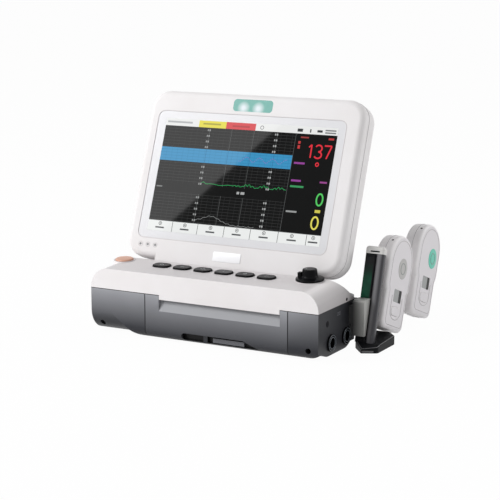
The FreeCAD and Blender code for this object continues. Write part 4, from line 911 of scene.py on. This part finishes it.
def trim_probe(side, badge, spot):
    """Badge, face line, ridge under the window, seam and rim dot of one probe."""

    def face(a, b, out):
        """Right face of the probe: a runs to its back, b up along it."""
        return lean_place(out, a, b, probe_rows[side], probe_foot, probe_front, probe_lean)

    def top_edge(a, b, out):
        """Round rim of the head: a runs out from the seam, b along the rim from dot_angle."""
        turn = np.radians(dot_angle) + np.asarray(b) / head_round
        y = -head_offset - (head_round + np.asarray(out)) * np.cos(turn)
        z = head_rise + (head_round + np.asarray(out)) * np.sin(turn)
        return face(y, z, np.asarray(a) - seam_depth)

    body = f"{side}_probe"
    disc = button(face, spot, 14.0, 0.4, 0.2)
    skin(f"{side}_probe_badge", disc, body, badge)
    ring = hoop(face, spot, 7.4, 9, 1.2, 0.75)
    skin(f"{side}_probe_badge_ring", ring, body, badge_rim, loop=True)
    line = bead(face, paddle(6.5), 0.8, 0.3, True)
    skin(f"{side}_probe_face_line", line, body, line_grey, loop=True)
    turn = np.linspace(0.0, -np.pi, 25)
    round_foot = np.stack([ridge_half * np.cos(turn), 26.0 + 11.0 * np.sin(turn)], axis=-1)
    leg = np.array([[ridge_half, 46.0], [ridge_half, 36.0]])
    ridge = bead(face, np.concatenate([leg, round_foot, leg[::-1] * (-1.0, 1.0)]), 0.8, 0.4, False)
    skin(f"{side}_probe_ridge", ridge, body, line_grey)
    seam = cord(face, lambda grow: paddle(-grow), 0.1, -seam_depth)
    skin(f"{side}_probe_seam", seam, body, line_grey, loop=True)
    dot = button(top_edge, (5.0, 0.0), 1.5, 0.2, 0.1)
    skin(f"{side}_probe_dot", dot, body, dark_slot)


badge_grey = moulded("badge_grey", paint(186, 184, 183), paint(158, 156, 155), 0.4, 500.0, 0.00002)
badge_teal = moulded("badge_teal", paint(84, 196, 172), paint(66, 180, 156), 0.3, 500.0, 0.00002)
badge_rim = moulded("badge_rim", paint(120, 132, 128), paint(108, 120, 116), 0.4, 500.0, 0.00002)
trim_probe("near", badge_grey, (4.0, 84.0))
trim_probe("far", badge_teal, (11.0, 82.0))

# %% Dock
cap_front = -0.5
tray_depths, tray_heights = (-97.5, column_foot[0], -16.5), (4.95, column_foot[1], 11.7)
toe_corner, toe_run = (196.0, -96.5), (0.885, 0.466)


def on_cap(a, b, out):
    """Front of the dock's cap, in the leaning frame of the column."""
    return lean_place(a, cap_front - np.asarray(out), b, *column_foot, 0.0, column_lean)


def on_tray(a, b, out):
    """Top of the dock's tray, which climbs from the toe to the column and then more gently."""
    return metres(a, b, np.interp(b, tray_depths, tray_heights) + out)


def on_toe(a, b, out):
    """Slanting front face of the tray's toe: a runs along it, b up."""
    x = toe_corner[0] + toe_run[0] * a + toe_run[1] * out
    y = toe_corner[1] + toe_run[1] * a - toe_run[0] * out
    return metres(x, y, b)


# Slit: a dark pillow, painted shade of the gap under the cap.
slit = opening(on_cap, (190.5, 119.0), 6.5, 0.9)
skin("dock_slit", slit, "base", dark_slot)
# Painted highlight: the pale lip and toe face stand for light glancing off the black tray's edges.
lip_highlight = moulded("lip_highlight", paint(112, 112, 114), paint(94, 94, 96), 0.45, 700.0, 0.00003)
corners = np.array([[180.5, -75.5], [196.0, -94.6], [212.6, -85.6], [213.6, -83.0], [213.6, -34.0]])
share = np.linspace(0.0, len(corners) - 1.0, 49)
lip_path = np.stack([np.interp(share, np.arange(len(corners)), line) for line in corners.T], axis=-1)
skin("tray_lip", bead(on_tray, lip_path, 1.1, 0.5, False), "base", lip_highlight)
toe_face = pillow(on_toe, (8.4, 2.2), 7.6, 1.2, 0.8, 0.35, 0.2)
skin("tray_toe", toe_face, "base", lip_highlight)

# %% [markdown]
# ## The back and the underside
#
# The low rear body has slots for air in its wall and cover, and a bare plate. Underneath there are
# sound slots, a second bare plate, rings round the four trolley holes and a finger groove in the
# battery door.

# %% Back and underside
rear_wall, cover_top, hull_foot = 40.5, 44.5, 2.5
bolt_middle, bolt_across, bolt_along = -72.5, 37.5, 17.5


def on_rear(a, b, out):
    """Rear wall, seen from behind."""
    return metres(-np.asarray(a), rear_wall + out, b)


def on_cover(a, b, out):
    """Flat cover of the rear body."""
    return metres(a, b, cover_top + out)


def on_under(a, b, out):
    """Flat underside of the hull."""
    return metres(a, b, hull_foot - np.asarray(out))


plate_grey = moulded("plate_grey", paint(168, 169, 172), paint(160, 161, 164), 0.35, 700.0, 0.00001)
# The dark vents, slots and groove of the back and underside are painted shade of openings.
rear_slots = [opening(on_rear, (a, 24.0), 1.1, 9.0) for a in 46.0 + 6.0 * np.arange(10)]
skin("rear_vents", rear_slots, "base", dark_slot)
rear_plate = pillow(on_rear, (6.0, 24.0), 24.0, 8.0, 1.5, 0.4, 0.2)
skin("rear_plate", rear_plate, "base", plate_grey)
cover_rows = [(a, b) for a in (-52.0, 52.0) for b in (-18.0, -11.0, -4.0, 3.0)]
cover_slots = [opening(on_cover, spot, 36.0, 1.2) for spot in cover_rows]
skin("cover_vents", cover_slots, "base", dark_slot)
sound_rows = -114.5 + 6.0 * np.arange(-2, 3)
sound = [opening(on_under, (-112.0, b), 12.0, 1.1) for b in sound_rows]
skin("sound_slots", sound, "base", dark_slot)
under_plate = pillow(on_under, (56.0, -16.0), 32.0, 16.0, 1.5, 0.4, 0.2)
skin("under_plate", under_plate, "base", plate_grey)
groove = opening(on_under, (-57.0, -1.0), 16.0, 3.0)
skin("door_groove", groove, "base", dark_slot)
bolt_rings = [
    hoop(on_under, (bolt_across * i, bolt_middle + bolt_along * j), 3.8, 8, 1.6, 0.4)
    for i in (-1, 1) for j in (-1, 1)
]
skin("trolley_rings", bolt_rings, "base", finishes["brass"], loop=True)

# %% [markdown]
# ## Floor and light
#
# The picture is a cut-out on white. The floor glows white to the camera and keeps a little of its own
# shade, so a faint shadow stays. One big soft box stands at the upper left front, placed so that its
# straight edge mirrors across the screen. A smaller one lights the right side from behind, and an
# even sky fills the rest.


# %% Floor
def straight_rays(tree):
    """1 for rays from the camera, from mirrors and through glass, 0 for rays that only carry light."""
    path = tree.nodes.new("ShaderNodeLightPath")
    seen = Wire(path.outputs["Is Camera Ray"])
    for kind in ("Is Glossy Ray", "Is Transmission Ray"):
        seen = seen.most(Wire(path.outputs[kind]))
    return seen


reach = 14.0
around = np.linspace(0.0, 2.0 * np.pi, 65)[:-1]
radii = 1000.0 * np.array([0.02, 0.4, 1.0, 2.0, reach])[:, None]
floor_level, floor_shine = -0.5, 0.97
disc = metres(radii * np.cos(around), radii * np.sin(around), floor_level)
floor_mesh = bpy.data.meshes.new("floor")
number = np.arange(disc.shape[0] * disc.shape[1]).reshape(disc.shape[:2])
rounds = [number[:-1], number[1:], np.roll(number[1:], -1, axis=1), np.roll(number[:-1], -1, axis=1)]
floor_faces = np.stack(rounds, axis=-1).reshape(-1, 4).tolist() + [number[0].tolist()]
floor_mesh.from_pydata(disc.reshape(-1, 3).tolist(), [], floor_faces)
floor = bpy.data.objects.new("floor", floor_mesh)
bpy.context.scene.collection.objects.link(floor)
ground = Finish("floor_white", Roughness=0.9)
ground.feed(Base_Color=ground.blend(ground.cloud(3.0), paint(236, 236, 236), paint(240, 240, 240)))
seen = straight_rays(ground.tree)
shine = ground.node("ShaderNodeEmission", None, {"Color": (1.0, 1.0, 1.0, 1.0), "Strength": 1.0})
own = Wire(ground.shader.outputs[0])
both = ground.node("ShaderNodeMixShader", None, {0: seen * floor_shine, 1: own, 2: shine})
ground.tree.links.new(both.socket, ground.tree.nodes["Material Output"].inputs["Surface"])
floor_mesh.materials.append(ground.material)
print("floor reach", reach)

# %% Sky
sky_light = 0.38
world = bpy.data.worlds.new("sky")
bpy.context.scene.world = world
world.use_nodes = True
sky = world.node_tree
plain = straight_rays(sky)
sky.nodes["Background"].inputs["Color"].default_value = (1.0, 1.0, 1.0, 1.0)
connect(sky.nodes["Background"].inputs["Strength"], plain * (1.0 - sky_light) + sky_light)
print("sky lights at", sky_light, "and shows at 1")


# %% Lamps
def soft_box(name, spot, towards, size, watts, side=None):
    """An area light at spot that shines along towards; side turns its long edge."""
    made = bpy.data.lights.new(name, "AREA")
    made.shape = "RECTANGLE"
    made.size, made.size_y = size
    made.energy = watts
    z = -np.array(towards, float) / np.linalg.norm(towards)
    x = np.cross((0.0, 0.0, 1.0), z) if side is None else np.array(side, float)
    x = x - z * (x @ z)
    x = x / np.linalg.norm(x)
    turned = np.stack([x, np.cross(z, x), z, np.array(spot, float)], axis=1)
    lamp_object = bpy.data.objects.new(name, made)
    lamp_object.matrix_world = Matrix(turned.tolist() + [[0, 0, 0, 1]])
    lamp_object.visible_camera = False
    bpy.context.scene.collection.objects.link(lamp_object)
    return lamp_object


key_spot, key_aim, key_side = (-1.738, -1.642, 1.734), (0.481, 0.749, -0.455), (-0.630, 0.656, 0.414)
fill_spot, fill_aim = (1.95, 1.1, 0.9), (-1.75, -1.1, -0.75)
soft_box("key_light", key_spot, key_aim, (1.28, 2.24), 69.0, key_side)
soft_box("fill_light", fill_spot, fill_aim, (1.2, 1.2), 20.0)

# %% Update the scene
bpy.context.view_layer.update()
